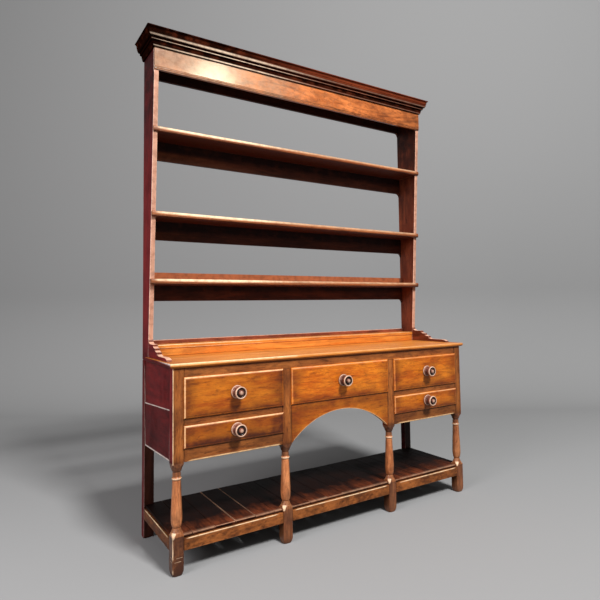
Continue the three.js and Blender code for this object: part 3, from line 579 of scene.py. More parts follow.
def turnedRadius(z, corner):    # how far out the turning leaves the wood at a height
    block, tongueTop, shoulder = (legShape[key] for key in ("foot block", "tongue top", "block top"))
    turning = [(height * mm, radius * mm) for height, radius in legShape["turning"]]
    if z < block or z > shoulder:
        return 1.0
    if z < tongueTop:    # a hollow sweep in from the block's corners
        share = (z - block) / (tongueTop - block)
        roundness = legShape["tongue roundness"]
        inwards = roundness * math.sqrt(1 - (1 - share) ** 2) + (1 - roundness) * share
        return corner + (legShape["tongue radius"] - corner) * inwards
    topHeight, topRadius = turning[-1]
    if z > topHeight:
        return topRadius + (corner - topRadius) * (z - topHeight) / (shoulder - topHeight)
    for (z0, r0), (z1, r1) in zip(turning, turning[1:]):
        if z0 <= z <= z1:
            share = (z - z0) / (z1 - z0)
            return r0 + (r1 - r0) * share * share * (3 - 2 * share)
    return topRadius


def ringHeights(top, scratches):    # close together where the leg is turned
    shoulder = legShape["block top"]
    heights = [h * mm for h in legShape["foot rings"]]
    z = legShape["foot block"]
    while z < shoulder:
        heights.append(z)
        z += legShape["step up"]
    first, following = legShape["first stile ring"], legShape["next stile ring"]
    heights += [shoulder, shoulder + first]
    z = shoulder + following
    while z < top - following:
        heights.append(z)
        z += legShape["stile step"]
    heights += [top - first, top]
    for h in scratches:
        heights += [h - legWearAndLight["scratch half width"], h, h + legWearAndLight["scratch half width"]]
    return sorted(heights)


def towards(angle, degrees):    # 1 where the surface faces that way, -1 where it faces away
    return math.cos(angle - math.radians(degrees))


def legRubAndGlint(point, angle, radius, cornerness, arris, scratched, seed):    # how pale: wear, and a painted glint
    look, facet, z = legWearAndLight, legWearAndLight["facet"], point.z
    arrisRub, ringRub, scratch, glint = 0.0, 0.0, 0.0, 0.0
    if cornerness:
        level, contrast, scale = look["arris patches"]
        patches = max(0.0, level + contrast * noise.noise(point * scale + seed))
        broken = 1.0 if z > look["whole arris from"] else patches
        facing = cornerness * max(0.0, towards(angle, look["arris faces"]))
        arrisRub = facing ** look["arris sharpness"] * arris * broken
    if look["ring"][0] < z < look["ring"][1]:
        ringRub = (radius - look["ring rubbed from"]) / look["ring fade"]
    if scratched and towards(angle, look["scratch faces"]) > look["scratch width"]:
        scale, level = look["scratch breaks"]
        scratch = look["scratch"] if noise.noise(point * scale) > level else 0.0
    up = (z - facet["from"]) / facet["height"]
    if 0 <= up < 1:
        glint = 1 - (1 - towards(angle, facet["faces"])) / (facet["narrow"] + facet["widening"] * up)
    return clamp(max(arrisRub, ringRub, scratch, facet["strength"] * glint))


def legDirtAndShade(point, angle, footDirt, seed):    # how dark: dirt, a darker neck, and painted shade on stiles and columns
    look, z = legWearAndLight, point.z
    foot, side = 0.0, 0.0
    if z < look["foot dirt to"]:
        foot = footDirt
    elif z > look["tongue darkening from"]:
        foot = look["tongue dirt"] * (1 - (z - legShape["foot block"]) / look["tongue darkening fade"])
    under = look["neck darkening"] * clamp(look["neck top"] - abs(z - look["neck"]) / look["neck fade"])
    under += look["stile top shade"] * max(0.0, 1 - (look["stile top"] - z) / look["stile top fade"])
    if z > look["stile sides from"]:
        side = look["stile side shade"] * (1 - min(1.0, abs(math.cos(2 * angle)) * look["stile side fade"]))
    low, high = look["column"]
    if low < z < high:
        away = look["column side shade"] * max(0.0, look["pale width"] - towards(angle, look["column faces"]))
        patch = max(0.0, noise.noise(point * look["patches"] + seed))
        lower = max(0.0, look["patch top"] - (z - low) / look["patch fade"])
        side = min(look["column most"], away + patch * lower)
    return max(0.0, foot, under, side)


def turnedPost(name, node):
    low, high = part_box(node)
    centre = (low + high) / 2
    half = (high.x - low.x) / 2
    corner = half * math.sqrt(2)
    shoulder = legShape["block top"]
    steps = legShape["steps round"]
    turningTone, footTone, stileTone = legWearAndLight["tones"][name]
    footDirt = legWearAndLight["foot dirt"].get(name, legWearAndLight["other foot dirt"])
    arris = legWearAndLight["arris"].get(name, legWearAndLight["other arrises"])
    scratches = [h * mm for h in legWearAndLight["scratches"].get(name, ())]
    seed = Vector((centre.x * 9, centre.y * 5, 3.1))

    mesh = bmesh.new()
    wearAndHighlight, grimeAndShade, tone = (floatLayer(mesh, layer) for layer in ("wearAndHighlight", "grimeAndShade", "tone"))
    rings = []
    for z in ringHeights(high.z, scratches):
        footWear = legShape["foot wear"] * max(0.0, 1 - z / legShape["foot wear height"]) ** 2
        size = half - footWear * 0.5 - (legShape["end wear"] if z == high.z else 0.0)
        turned = turnedRadius(z, corner)
        inTurning = legWearAndLight["turning from"] < z < legWearAndLight["turning to"]
        ring = []
        for j in range(steps):
            angle = turn * (j + 0.5) / steps
            square = squareRadius(angle, size, legShape["corner rounding"] + footWear)
            radius = min(square, turned)
            direction = Vector((math.cos(angle), math.sin(angle), 0))
            point = Vector((centre.x, centre.y, z)) + direction * radius
            cornerness = clamp((square / size - legShape["corner from"]) / legShape["corner fade"])
            nibble = max(0.0, noise.noise(point * legShape["nibbles"] + seed)) ** legShape["nibble sharpness"]
            wave = 0.5 + 0.5 * noise.noise(point * legShape["waves"] + seed)
            point -= direction * (legShape["nibble"] * nibble * cornerness + legShape["waviness"] * wave)
            vert = mesh.verts.new(point)
            if radius < square - legWearAndLight["turned away"]:
                cornerness = 0.0
            vert[wearAndHighlight] = legRubAndGlint(point, angle, radius, cornerness, arris, z in scratches, seed)
            vert[grimeAndShade] = legDirtAndShade(point, angle, footDirt, seed)
            vert[tone] = turningTone if inTurning else footTone if z < shoulder else stileTone
            ring.append(vert)
        rings.append(ring)
    for lower, upper in zip(rings, rings[1:]):
        joinLoops(mesh, lower, upper)
    mesh.faces.new(list(reversed(rings[0])))
    mesh.faces.new(rings[-1])
    piece = addPiece(name, mesh, "dresser", "pale", "Z", [node])
    coverFaces(piece, "rail", lambda n, c: c.z > shoulder)
    coverFaces(piece, "dark", lambda n, c: n.x < -0.8 and c.z > shoulder)


for side in ("left", "mid_left", "mid_right", "right"):
    turnedPost("turnedLeg_" + side, "front_leg_" + side)

print("Stage: base")

midLegs = [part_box("front_leg_mid_" + side) for side in ("left", "right")]
stretcherLow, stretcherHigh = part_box("front_stretcher")


def rubbedBelow(level, below, above):    # one amount of rubbing low on a board, another above
    return lambda p, n: below if p.z < level else above


def underShade(p, n):    # painted shade darkens the front face just below the drawer above; faces behind it are a little darker
    darkest, reach, face, behind = 0.55, 0.5, 0.1, 0.2
    return darkest * max(0.0, 1 - (1 - p.z) / reach) if p.y < face else behind


def stretcherRub(p, n):    # no worn line in the halvings behind the middle legs
    x = stretcherLow.x + p.x * (stretcherHigh.x - stretcherLow.x)
    margin, below, above = 20 * mm, 0.3, 1.0
    hidden = any(low.x - margin < x < high.x + margin for low, high in midLegs)
    return 0.0 if hidden else rubbedBelow(0.5, below, above)(p, n)


# The base's boards that stand at both sides, and what is different at one side
sidedBoards = {
    # painted shade for the carcass's shadow: the rear posts are darker, the right one most
    "rearPost": {
        "node": "rear_post", "finish": "dark", "along": "Z", "rub": 0.4,
        "left": {"dirt": 0.45}, "right": {"dirt": 0.9},
    },
    "upperEndBoard": {
        "node": "side_board_upper", "finish": "dark", "along": "Y", "edge": 2 * mm, "band": 6 * mm,
        "border": 1.0, "ends": 1.0, "rub": rubbedBelow(0.3, 1.0, 0.1),
    },
    "lowerEndBoard": {
        "node": "side_board_lower", "finish": "dark", "along": "Y", "edge": 4.5 * mm, "band": 7 * mm,
        "border": 1.0, "ends": 1.0, "rub": rubbedBelow(0.3, 1.0, 0.2), "dirt": lambda p, n: 0.55 - 0.25 * p.z,
    },
    "dividerRail": {
        "node": "divider_rail", "finish": "rail", "edge": 1.5 * mm, "rub": 0.3, "dirt": underShade,
    },
    "bottomRail": {
        "node": "bottom_rail", "finish": "rail", "band": 7 * mm, "border": 1.0,
        "rub": rubbedBelow(0.5, 1.0, 0.25), "dirt": underShade,
        "left": {"tone": 0.0}, "right": {"tone": -0.9},
    },
    "endStretcher": {
        "node": "side_stretcher", "finish": "stretcher", "along": "Y", "edge": 2.5 * mm, "band": 2 * mm,
        "border": 0.6, "rub": rubbedBelow(0.5, 0.3, 1.0), "dirt": 0.45,
    },
}
singleBoards = {
    "topRail": {
        "node": "top_rail", "finish": "rail", "edge": 1.5 * mm, "rub": 0.2, "tone": 0.9,
        "dirt": lambda p, n: 0.5 * (p.z - 0.6) / 0.4,    # painted shade: darker towards the worktop, in its shadow
    },
    "frontStretcher": {
        "node": "front_stretcher", "finish": "stretcher", "band": 3.5 * mm, "border": 0.9, "rough": 0.8 * mm,
        "rub": stretcherRub,
        "dirt": lambda p, n: 0.9 if n.z > 0.8 and p.y > 0.25 else 0.1,    # dust, and painted shade under the potboard's front, darken its top behind the front edge
    },
    "rearStretcher": {"node": "rear_stretcher", "finish": "back"},
    "backBoards": {
        "node": "back_boards", "finish": "bare", "along": "Z", "edge": 0.8 * mm, "cut": 200 * mm, "band": 0.0,
    },
    "middleDustBoard": {
        "node": "dust_board_middle", "finish": "bare", "edge": 1 * mm, "cut": 200 * mm, "band": 0.0,
    },
}

for side in ("left", "right"):
    for name, board in sidedBoards.items():
        piece = boardFromNode(board["node"] + "_" + side, name + "_" + side, board, **board.get(side, {}))
        # painted shade: the rear posts' front faces get the dark back finish
        if name == "rearPost":
            coverFaces(piece, "back", lambda n, c: n.y < -0.8)
for name, board in singleBoards.items():
    boardFromNode(board["node"], name, board)

apronShape = {
    "rise": 115 * mm, "steps": 72, "cut": 30 * mm, "edge": 3 * mm, "band": 3.5 * mm, "border": 0.9,
    "seed": 5, "tone": -0.6, "dirt": 0.5, "darkening from ends": 60 * mm, "shade from top": 50 * mm,
    "least dirt": 0.1,
    # less rubbed below the drawer's lip and beside the legs
    "covered top": 12 * mm, "top rub": 0.3, "covered end": 6 * mm, "end rub": 0.1,
}


def makeApron():
    shape = apronShape
    low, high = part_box("arched_apron")
    half = high.x
    rise = shape["rise"]
    radius = (half * half + rise * rise) / (2 * rise)
    middle = low.z + rise - radius
    sweep = math.asin(half / radius)
    outline = [(half, low.z), (half, high.z), (low.x, high.z), (low.x, low.z)]
    for i in range(1, shape["steps"]):
        angle = -sweep + 2 * sweep * i / shape["steps"]
        outline.append((radius * math.sin(angle), middle + radius * math.cos(angle)))
    mesh = fromOutline(outline, "Y", low.y, high.y)
    crossCut(mesh, "Z", shape["cut"])
    soften(mesh, shape["edge"], band=shape["band"], border=shape["border"])
    unevenness(mesh, shape["seed"])
    wearAndHighlight, grimeAndShade = floatLayer(mesh, "wearAndHighlight"), floatLayer(mesh, "grimeAndShade")
    for vert in mesh.verts:
        toEnd = half - abs(vert.co.x)
        fromTop = high.z - vert.co.z
        if fromTop < shape["covered top"]:
            vert[wearAndHighlight] *= shape["top rub"]
        if toEnd < shape["covered end"]:
            vert[wearAndHighlight] *= shape["end rub"]
        # dirt towards both ends, and painted shade below the drawer above
        endDirt = shape["dirt"] * (1 - toEnd / shape["darkening from ends"])
        topShade = shape["dirt"] * (1 - fromTop / shape["shade from top"])
        vert[grimeAndShade] = max(endDirt, topShade, shape["least dirt"])
    addPiece("archedApron", mesh, "dresser", "waxed", "X", ["arched_apron"], shape["tone"])


makeApron()

potboardShape = {
    "gap": 0.5 * mm, "shrunk gap": 0.7 * mm, "edge": 1.6 * mm, "band": 2.5 * mm, "border": 0.7,
    "cut": 30 * mm, "rough": 0.6 * mm, "nibble": 1.5 * mm, "front edge": 4.5 * mm, "seat": 0.4 * mm,
    "short at front": 0.6 * mm, "short at rear": 4 * mm, "thinner": 0.8 * mm,    # at most
    "gap shares": (0.5, 1.3), "least strip": 2 * mm, "seed": 11, "uneven seeds": 40,
    "joints": (-715, -625, -535, -445, -355, -265, -175, -85, 5, 95, 185, 275, 365, 455, 545, 635, 725),
    # where the boards have shrunk apart, how pale their edges are there and at the other joints
    "shrunk": {-715: 0.25, -535: 0.7, -445: 0.6}, "tight": 0.06, "joint reach": 5 * mm,
    # the front edge is pale along its top, with painted shade on its lower face
    "front rub": (0.9, 0.5), "front depth": 4 * mm, "front edge shade": 0.95,
    # painted shadow of the carcass: darker towards the rear, from this far behind the front
    "dirt": (0.1, 1.5), "darkening from": 30 * mm, "darkening fade": 150 * mm,
}


def standing(names, atFront):    # left, right and inner limits of the legs or posts in the boards' way
    seat = potboardShape["seat"]
    boxes = [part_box(name) for name in names]
    return sorted((a.x - seat, b.x + seat, b.y + seat if atFront else a.y - seat) for a, b in boxes)


def edgeLine(left, right, level, inTheWay):    # the edge of one potboard board from left to right
    points = []
    at = left
    for x0, x1, y in inTheWay:
        x0, x1 = max(x0, left), min(x1, right)
        if x0 >= x1:
            continue
        if x0 > at + potboardShape["least strip"]:
            points += [(at, level), (x0, level)]
        else:
            x0 = at
        if right - x1 < potboardShape["least strip"]:
            x1 = right
        points += [(x0, y), (x1, y)]
        at = x1
    if at < right:
        points += [(at, level), (right, level)]
    return points


def makePotboard():
    shape = potboardShape
    low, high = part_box("potboard")
    chance = random.Random(shape["seed"])
    legs = standing(["front_leg_" + side for side in ("left", "mid_left", "mid_right", "right")], True)
    posts = standing(["rear_post_" + side for side in ("left", "right")], False)
    joints = [low.x] + [x * mm for x in shape["joints"]] + [high.x]
    shrunk = {x * mm: pale for x, pale in shape["shrunk"].items()}
    whole = bmesh.new()
    for name in ("tone", "wearAndHighlight", "grimeAndShade"):
        floatLayer(whole, name)
    scratch = bpy.data.meshes.new("deckScratch")
    for x0, x1 in zip(joints, joints[1:]):
        gap = shape["gap"] * chance.uniform(*shape["gap shares"])
        left, right = x0 + gap / 2, x1 - gap / 2
        left += shape["shrunk gap"] if x0 in shrunk else 0.0
        right -= shape["shrunk gap"] if x1 in shrunk else 0.0
        y0 = low.y + chance.uniform(0, 1) * shape["short at front"]
        y1 = high.y - chance.uniform(0, 1) * shape["short at rear"]
        drop = shape["thinner"] * chance.random()
        outline = edgeLine(left, right, y0, legs) + edgeLine(left, right, y1, posts)[::-1]
        board = fromOutline(outline, "Z", low.z, high.z - drop)
        crossCut(board, "Y", shape["cut"])
        soften(board, shape["edge"], segments=2, band=shape["band"], border=shape["border"])
        unevenness(board, chance.random() * shape["uneven seeds"], shape["rough"], shape["nibble"])
        shade = chance.uniform(-1, 1)
        tone, wearAndHighlight, grimeAndShade = (floatLayer(board, name) for name in ("tone", "wearAndHighlight", "grimeAndShade"))
        for vert in board.verts:
            vert[tone] = shade
            fromFront = vert.co.y - low.y
            beside = [pale for x, pale in shrunk.items() if abs(vert.co.x - x) < shape["joint reach"]]
            # painted shadow of the carcass, darker towards the rear
            least, rise = shape["dirt"]
            vert[grimeAndShade] = least + rise * clamp((fromFront - shape["darkening from"]) / shape["darkening fade"])
            if fromFront >= shape["front edge"]:
                vert[wearAndHighlight] *= max(beside, default=shape["tight"])
            elif vert.co.z < high.z - shape["front depth"]:
                vert[wearAndHighlight], vert[grimeAndShade] = 0.0, shape["front edge shade"]
            else:
                edgeRub, leastRub = shape["front rub"]
                vert[wearAndHighlight] = max(edgeRub * vert[wearAndHighlight], leastRub)
        board.to_mesh(scratch)
        board.free()
        whole.from_mesh(scratch)
    bpy.data.meshes.remove(scratch)
    addPiece("potboardBoards", whole, "dresser", "deck", "Y", ["potboard"])


makePotboard()

print("Stage: worktop")

# Where hands have gone over the worktop, with a painted glare on the left of its front edge and a darker
# top at its left end, in shares of a board's length, width and thickness
worktopShape = {
    "finish": "top", "edge": 2.2 * mm, "rough": 0.6 * mm, "ends": 1.0,
    "left part": (0.012, 0.35), "left rub and glare": 1.0, "other rub": 0.35, "upper edge": 0.45, "lower rub": 0.2,
    "nose": 0.012, "nose top": 0.78, "left nose wear and glare": 0.85, "other nose wear": 0.4,
    "left darkening": 0.5, "left darkening reach": 0.16,
}


def worktopRubAndGlare(p, n):
    shape = worktopShape
    if p.z <= shape["upper edge"]:
        return shape["lower rub"]
    start, end = shape["left part"]
    return shape["left rub and glare"] if start <= p.x <= end else shape["other rub"]


def worktopNose(p, n):
    shape = worktopShape
    if p.z <= shape["nose top"] or p.y >= shape["nose"]:
        return 0.0
    return shape["left nose wear and glare"] if p.x < shape["left part"][1] else shape["other nose wear"]


def worktopDarkening(p, n):
    return worktopShape["left darkening"] * (1 - p.x / worktopShape["left darkening reach"]) if n.z > 0.7 else 0.0


worktopBoards = (("worktop_front", "worktopFront", worktopNose), ("worktop_rear", "worktopRear", 0.0))
for node, name, worn in worktopBoards:
    board = boardFromNode(node, name, worktopShape, rub=worktopRubAndGlare, worn=worn, dirt=worktopDarkening)
    coverFaces(board, "dark", lambda n, c: n.x < -0.5)

print("Stage: rack")

outwards = {"left": -1, "right": 1}    # the way that each side faces along X
uprightShape = {
    "finish": "inner", "along": "Z", "worn": lambda p, n: 0.55 if n.y < -0.75 else 0.0,
    # its sides are dark towards the top, in the shade of the frieze
    "dirt": lambda p, n: 0.95 * clamp((p.z - 0.5) / 0.35) if abs(n.x) > 0.7 else 0.0,
}
for side, sign in outwards.items():
    upright = boardFromNode("rack_upright_" + side, "upright_" + side, uprightShape)
    coverFaces(upright, "dark", lambda n, c: n.x * sign > 0.8)

scrollShape = {
    "length": 273 * mm, "height": 80 * mm, "cove length": 31 * mm, "cove height": 22 * mm, "ledge": 41 * mm,
    "tongue height": 14 * mm, "tongue": 108 * mm, "nose": 40 * mm, "steps": 3, "step drop": 8 * mm,
    "step run": 4 * mm, "edge": 2 * mm, "clearance": 0.3 * mm, "cove setback": 3 * mm, "arc steps": 8,
    "seed": 3,
    # painted highlight: the stepped top's upward faces are pale all over, its other faces a little
    "pale above": 3 * mm, "flat highlight": 0.8, "slope highlight": 0.15, "edge rub": 0.45,
}


def scrollOutline(rear, base):
    s = scrollShape
    front = rear - s["length"] + s["clearance"]
    coveTop = (rear - s["cove setback"], base + s["height"])
    coveFront = (coveTop[0] - s["cove length"], base + s["height"] - s["cove height"])
    y, z = coveFront[0] - s["ledge"], coveFront[1]
    run = (y - front - s["tongue"]) / s["steps"]
    drop = (s["height"] - s["cove height"] - s["tongue height"]) / s["steps"]
    outline = [(rear, base), coveTop, *arc(coveTop, coveFront, False, s["arc steps"]), (y, z)]
    for _ in range(s["steps"]):
        foot = (y, z - s["step drop"])
        start = (y - s["step run"], z - s["step drop"])
        y -= run
        z -= drop
        outline += [foot, start, *arc(start, (y, z), False, s["arc steps"])]
    tip = (front + s["nose"], base + s["tongue height"])
    return outline + [tip, *arc(tip, (front, base), True, s["arc steps"])]


def makeScroll(side):
    s = scrollShape
    low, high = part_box("rack_scroll_" + side)
    mesh = fromOutline(scrollOutline(high.y, low.z), "X", low.x, high.x)
    soften(mesh, s["edge"], segments=2, sharp=40)
    unevenness(mesh, s["seed"])
    wearAndHighlight = floatLayer(mesh, "wearAndHighlight")
    for vert in mesh.verts:
        if vert.co.z > low.z + s["pale above"] and abs(vert.normal.x) < 0.5:
            if vert.normal.z > 0.75:
                vert[wearAndHighlight] = max(vert[wearAndHighlight], s["flat highlight"])
            else:
                vert[wearAndHighlight] = s["edge rub"] * vert[wearAndHighlight] + s["slope highlight"]
    piece = addPiece("scroll_" + side, mesh, "dresser", "inner", "Y", ["rack_scroll_" + side])
    coverFaces(piece, "dark", lambda n, c: n.x * outwards[side] > 0.8)


for side in outwards:
    makeScroll(side)

shelfShape = {
    "finish": "shelf", "edge": 2 * mm, "rough": 0.6 * mm,
    "quirk": {
        "height": 7.5 * mm, "depth": 2.2 * mm, "half width": 1.6 * mm, "reach": 6 * mm,
        "tolerance": 0.05 * mm,
    },
    # the nose is the front 0.05 of the shelf's width, rubbed pale above 0.46 of its thickness, with a painted
    # glare near 0.2 of its length; painted shade darkens the underside
    "nose": (0.05, 0.46), "nose wear": 0.42, "glare": 0.58, "glare at": 0.2, "glare width": 0.16,
    "underside shade": 1.6, "unshaded nose": 0.01,
}
backRailShape = {
    # painted light where the rail stands above its shelf, painted shade under the shelf
    "finish": "back", "lit top": 0.8, "sheen from": 0.05, "sheen to": 0.4, "dirt": 0.2, "shade": 0.95,
    "shade from": 0.48, "levels": (0.36, 0.5),    # shares of the height where rows of points are needed
    "wear below shelf top": 0.005, "shade below shelf top": 0.01,
    # how strong the painted sheen is at the left end, and how far along it reaches
    "sheen": {"high": (0.55, 0.6), "middle": (0.4, 0.3), "low": (0.0, 1.0)},
}


def shelfNose(p, n):
    away = (p.x - shelfShape["glare at"]) / shelfShape["glare width"]
    onNose = p.y < shelfShape["nose"][0] and p.z > shelfShape["nose"][1]
    return shelfShape["nose wear"] + shelfShape["glare"] * math.exp(-away ** 2) if onNose else 0.0


def shelfShade(p, n):
    return shelfShape["underside shade"] if n.z < -0.5 and p.y > shelfShape["unshaded nose"] else 0.0


def makeBackRail(level):    # painted shade under its shelf, painted light above it, a painted sheen low at its left
    shape = backRailShape
    node = "rack_rail_" + level
    low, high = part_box(node)
    shelfLow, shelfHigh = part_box("rack_shelf_" + level)
    tall = high.z - low.z
    shelfTop = (shelfHigh.z - low.z) / tall
    sheen, reach = shape["sheen"][level]

    def railLightAndSheen(p, n):
        if n.y >= -0.5:
            return 0.0
        if p.z > shelfTop - shape["wear below shelf top"]:
            return shape["lit top"]
        return sheen * (1 - p.x / reach) if shape["sheen from"] < p.z < shape["sheen to"] else 0.0

    def railShadeAndDirt(p, n):
        shaded = shape["shade from"] < p.z < shelfTop - shape["shade below shelf top"]
        return shape["shade"] if shaded else shape["dirt"]

    levels = [low.z + share * tall for share in shape["levels"]] + [shelfLow.z, shelfHigh.z]
    boardFromNode(node, "backRail_" + level, shape, levels=levels, worn=railLightAndSheen, dirt=railShadeAndDirt)


for level in ("high", "middle", "low"):
    boardFromNode("rack_shelf_" + level, "shelf_" + level, shelfShape, worn=shelfNose, dirt=shelfShade)
    makeBackRail(level)

rackBoards = {
    "bottomShelf": {
        "node": "rack_shelf_bottom", "finish": "top", "edge": 2 * mm, "band": 3 * mm, "border": 0.5,
        "rub": lambda p, n: 0.2 if p.z <= 0.7 else 1.2 if p.x < 0.35 else 0.6,    # paler at its left: wear, and a painted glare
    },
    "backRail_bottom": {"node": "rack_rail_bottom", "finish": "inner", "edge": 2 * mm, "tone": 1.2},
    # painted shade darkens the top back rail, under the top board
    "backRail_top": {"node": "rack_rail_top", "finish": "back", "edge": 2 * mm, "dirt": 0.5},
    "rackTopBoard": {
        "node": "rack_top_board", "finish": "bare", "edge": 1 * mm, "cut": 200 * mm, "band": 0.0,
        "dirt": lambda p, n: 0.95 if n.z < -0.5 else 0.3,    # painted shade: dark below
    },
}
for name, board in rackBoards.items():
    boardFromNode(board["node"], name, board)

friezeShape = {
    "bead": 5 * mm, "quirk": 2 * mm, "bead steps": 8, "edge": 1 * mm, "rings": 16, "rough": 0.6 * mm,
    "nibble": 0.4 * mm, "beads": 2, "seed": 8,
    # a painted sheen to the left, darker at both ends: the most, the start of the slope and its length as a
    # share
    "fading": (0.55, 1.3, 0.5), "left darkening": (0.62, 1.1, 0.26), "right darkening": (0.6, 1.2, 0.08),
    "quirk darkening": 0.8, "quirk margins": (0.9 * mm, 1 * mm),
}


def makeFrieze():
    s = friezeShape
    low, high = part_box("frieze")
    bead, quirk = s["bead"], s["quirk"]
    outline = [(high.y, low.z), (high.y, high.z), (low.y, high.z)]
    z = low.z + s["beads"] * (bead + quirk)
    for _ in range(s["beads"]):    # one above the other
        outline += [(low.y, z), (low.y + quirk, z - quirk * 0.5), (low.y + quirk, z - quirk)]
        z -= quirk
        for i in range(1, s["bead steps"]):
            angle = math.pi * i / s["bead steps"]
            rise = z - bead / 2 + bead / 2 * math.cos(angle)
            outline.append((low.y + quirk - quirk * math.sin(angle), rise))
        z -= bead
    outline.append((low.y + quirk, low.z))
    mesh = fromOutline(outline, "X", low.x, high.x, s["rings"])
    soften(mesh, s["edge"], segments=2, sharp=50)
    unevenness(mesh, s["seed"], s["rough"], s["nibble"])
    wearAndHighlight, grimeAndShade = floatLayer(mesh, "wearAndHighlight"), floatLayer(mesh, "grimeAndShade")

    def slope(key, fromEnd):
        most, start, length = s[key]
        return min(most, start - fromEnd / length)

    frontMargin, rearMargin = s["quirk margins"]
    for vert in mesh.verts:
        share = (vert.co.x - low.x) / (high.x - low.x)
        # painted sheen over the left part; darker towards both ends and in the quirks
        vert[wearAndHighlight] = max(vert[wearAndHighlight], slope("fading", share))
        inQuirk = low.y + frontMargin < vert.co.y < high.y - rearMargin
        quirkDark = s["quirk darkening"] if inQuirk else 0.0
        vert[grimeAndShade] = max(0.0, slope("left darkening", share), slope("right darkening", 1 - share), quirkDark)
    addPiece("friezeBoard", mesh, "dresser", "frieze", "X", ["frieze"])


makeFrieze()

print("Stage: cornice")

# The moulding from the wall outwards: shares of its projection and of its height, and how it curves there
corniceProfileShares = [
    (0, 0, ""), (0.08, 0, ""), (0.22, 0.17, "round"), (0.26, 0.17, ""), (0.26, 0.21, ""),
    (0.36, 0.33, "hollow"), (0.42, 0.33, ""), (0.47, 0.42, "round"), (0.47, 0.46, ""), (0.52, 0.46, ""),
    (0.78, 0.72, "round"), (0.82, 0.72, ""), (0.82, 0.75, ""), (0.96, 0.93, "hollow"), (1, 0.93, ""),
    (1, 1, ""), (0, 1, ""),
]
corniceShape = {
    "curve steps": 14, "crest width": 3.2, "rings": 15, "edge": 0.6 * mm, "nibble": 0.6 * mm,
    "slack": 0.3 * mm, "seed": 2, "tone": 0.0, "grain place": (3, 4, 5),    # the same figure in all three
    # painted highlights: the crests of the rounds are pale, most where the lamp glares on them
    "crest highlight": 0.35, "glare": 0.65, "glare at": -0.42, "glare width": 0.3, "edge wear": 0.3,
    "left return": 0.5,
    # darker to the left of a place, and painted shade in the hollows of the lower part
    "left darkening": 0.95, "darkening from": 0.05, "darkening fade": 0.5, "hollow shade": 0.85, "lower part": 0.62,
}


def corniceOutline(projection, height):    # with how near each point is to the crest of a round
    steps = corniceShape["curve steps"]
    points, crests = [], []
    for out, up, curve in corniceProfileShares:
        point = (out * projection, up * height)
        if curve:
            points += arc(points[-1], point, curve == "round", steps)
            away = [(i - (steps - 1) / 2) / corniceShape["crest width"] for i in range(steps)]
            crests += [math.exp(-a ** 2) if curve == "round" else 0.0 for a in away]
        else:
            points.append(point)
            crests.append(0.0)
    return points, crests


def makeCorniceLength(name, node, outline, crests, ends):    # ends: where each outline point starts and stops
    s = corniceShape
    low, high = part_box("cornice_front")
    front = node == "cornice_front"
    mesh = bmesh.new()
    crestLayer = floatLayer(mesh, "crest")
    loops = []
    for ring in range(s["rings"] + 1):
        share = ring / s["rings"]
        loops.append([mesh.verts.new(Vector(a).lerp(Vector(b), share)) for a, b in map(ends, outline)])
        for vert, crest in zip(loops[-1], crests):
            vert[crestLayer] = crest
    for first, second in zip(loops, loops[1:]):
        joinLoops(mesh, first, second)
    mesh.faces.new(loops[0])
    mesh.faces.new(loops[-1])
    bmesh.ops.recalc_face_normals(mesh, faces=mesh.faces)
    soften(mesh, s["edge"], segments=2, sharp=40)
    wearAndHighlight, grimeAndShade = floatLayer(mesh, "wearAndHighlight"), floatLayer(mesh, "grimeAndShade")
    rubbed = s["left return"] if "left" in node else 1.0
    for vert in mesh.verts:
        # painted highlights on the crests, painted shade in the lower hollows, darker to the left
        left = clamp((s["darkening from"] - vert.co.x) / s["darkening fade"]) if front else 1.0
        glare = math.exp(-((vert.co.x - s["glare at"]) / s["glare width"]) ** 2) if front else 0.0
        crest = vert[crestLayer]
        vert[wearAndHighlight] = rubbed * max(s["edge wear"] * vert[wearAndHighlight], (s["crest highlight"] + s["glare"] * glare) * crest)
        inLowerPart = vert.co.z < low.z + s["lower part"] * (high.z - low.z)
        vert[grimeAndShade] = max(s["left darkening"] * left, s["hollow shade"] * (1 - crest) if inLowerPart else 0.0)
    unevenness(mesh, s["seed"], edge=s["nibble"])
    addPiece(name, mesh, "dresser", "moulding", "X" if front else "Y", [node], s["tone"], s["grain place"])


def makeCornice():    # three lengths that meet in mitres at the corners
    low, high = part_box("cornice_front")
    depth = high.y - low.y
    outline, crests = corniceOutline(depth, high.z - low.z)
    half = high.x - depth    # where the moulding starts at the frieze's ends

    def frontEnds(point):
        out, z = point[0], low.z + point[1]
        return (-half - out, high.y - out, z), (half + out, high.y - out, z)

    makeCorniceLength("corniceFront", "cornice_front", outline, crests, frontEnds)
    for side, sign in outwards.items():
        sideLow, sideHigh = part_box("cornice_" + side)
        inner = sideHigh.x if sign < 0 else sideLow.x

        def sideEnds(point):
            x, z = inner + sign * point[0], low.z + point[1]
            return (x, high.y + corniceShape["slack"] - point[0], z), (x, sideHigh.y, z)

        makeCorniceLength("cornice_" + side + "_return", "cornice_" + side, outline, crests, sideEnds)


makeCornice()

print("Stage: drawers")

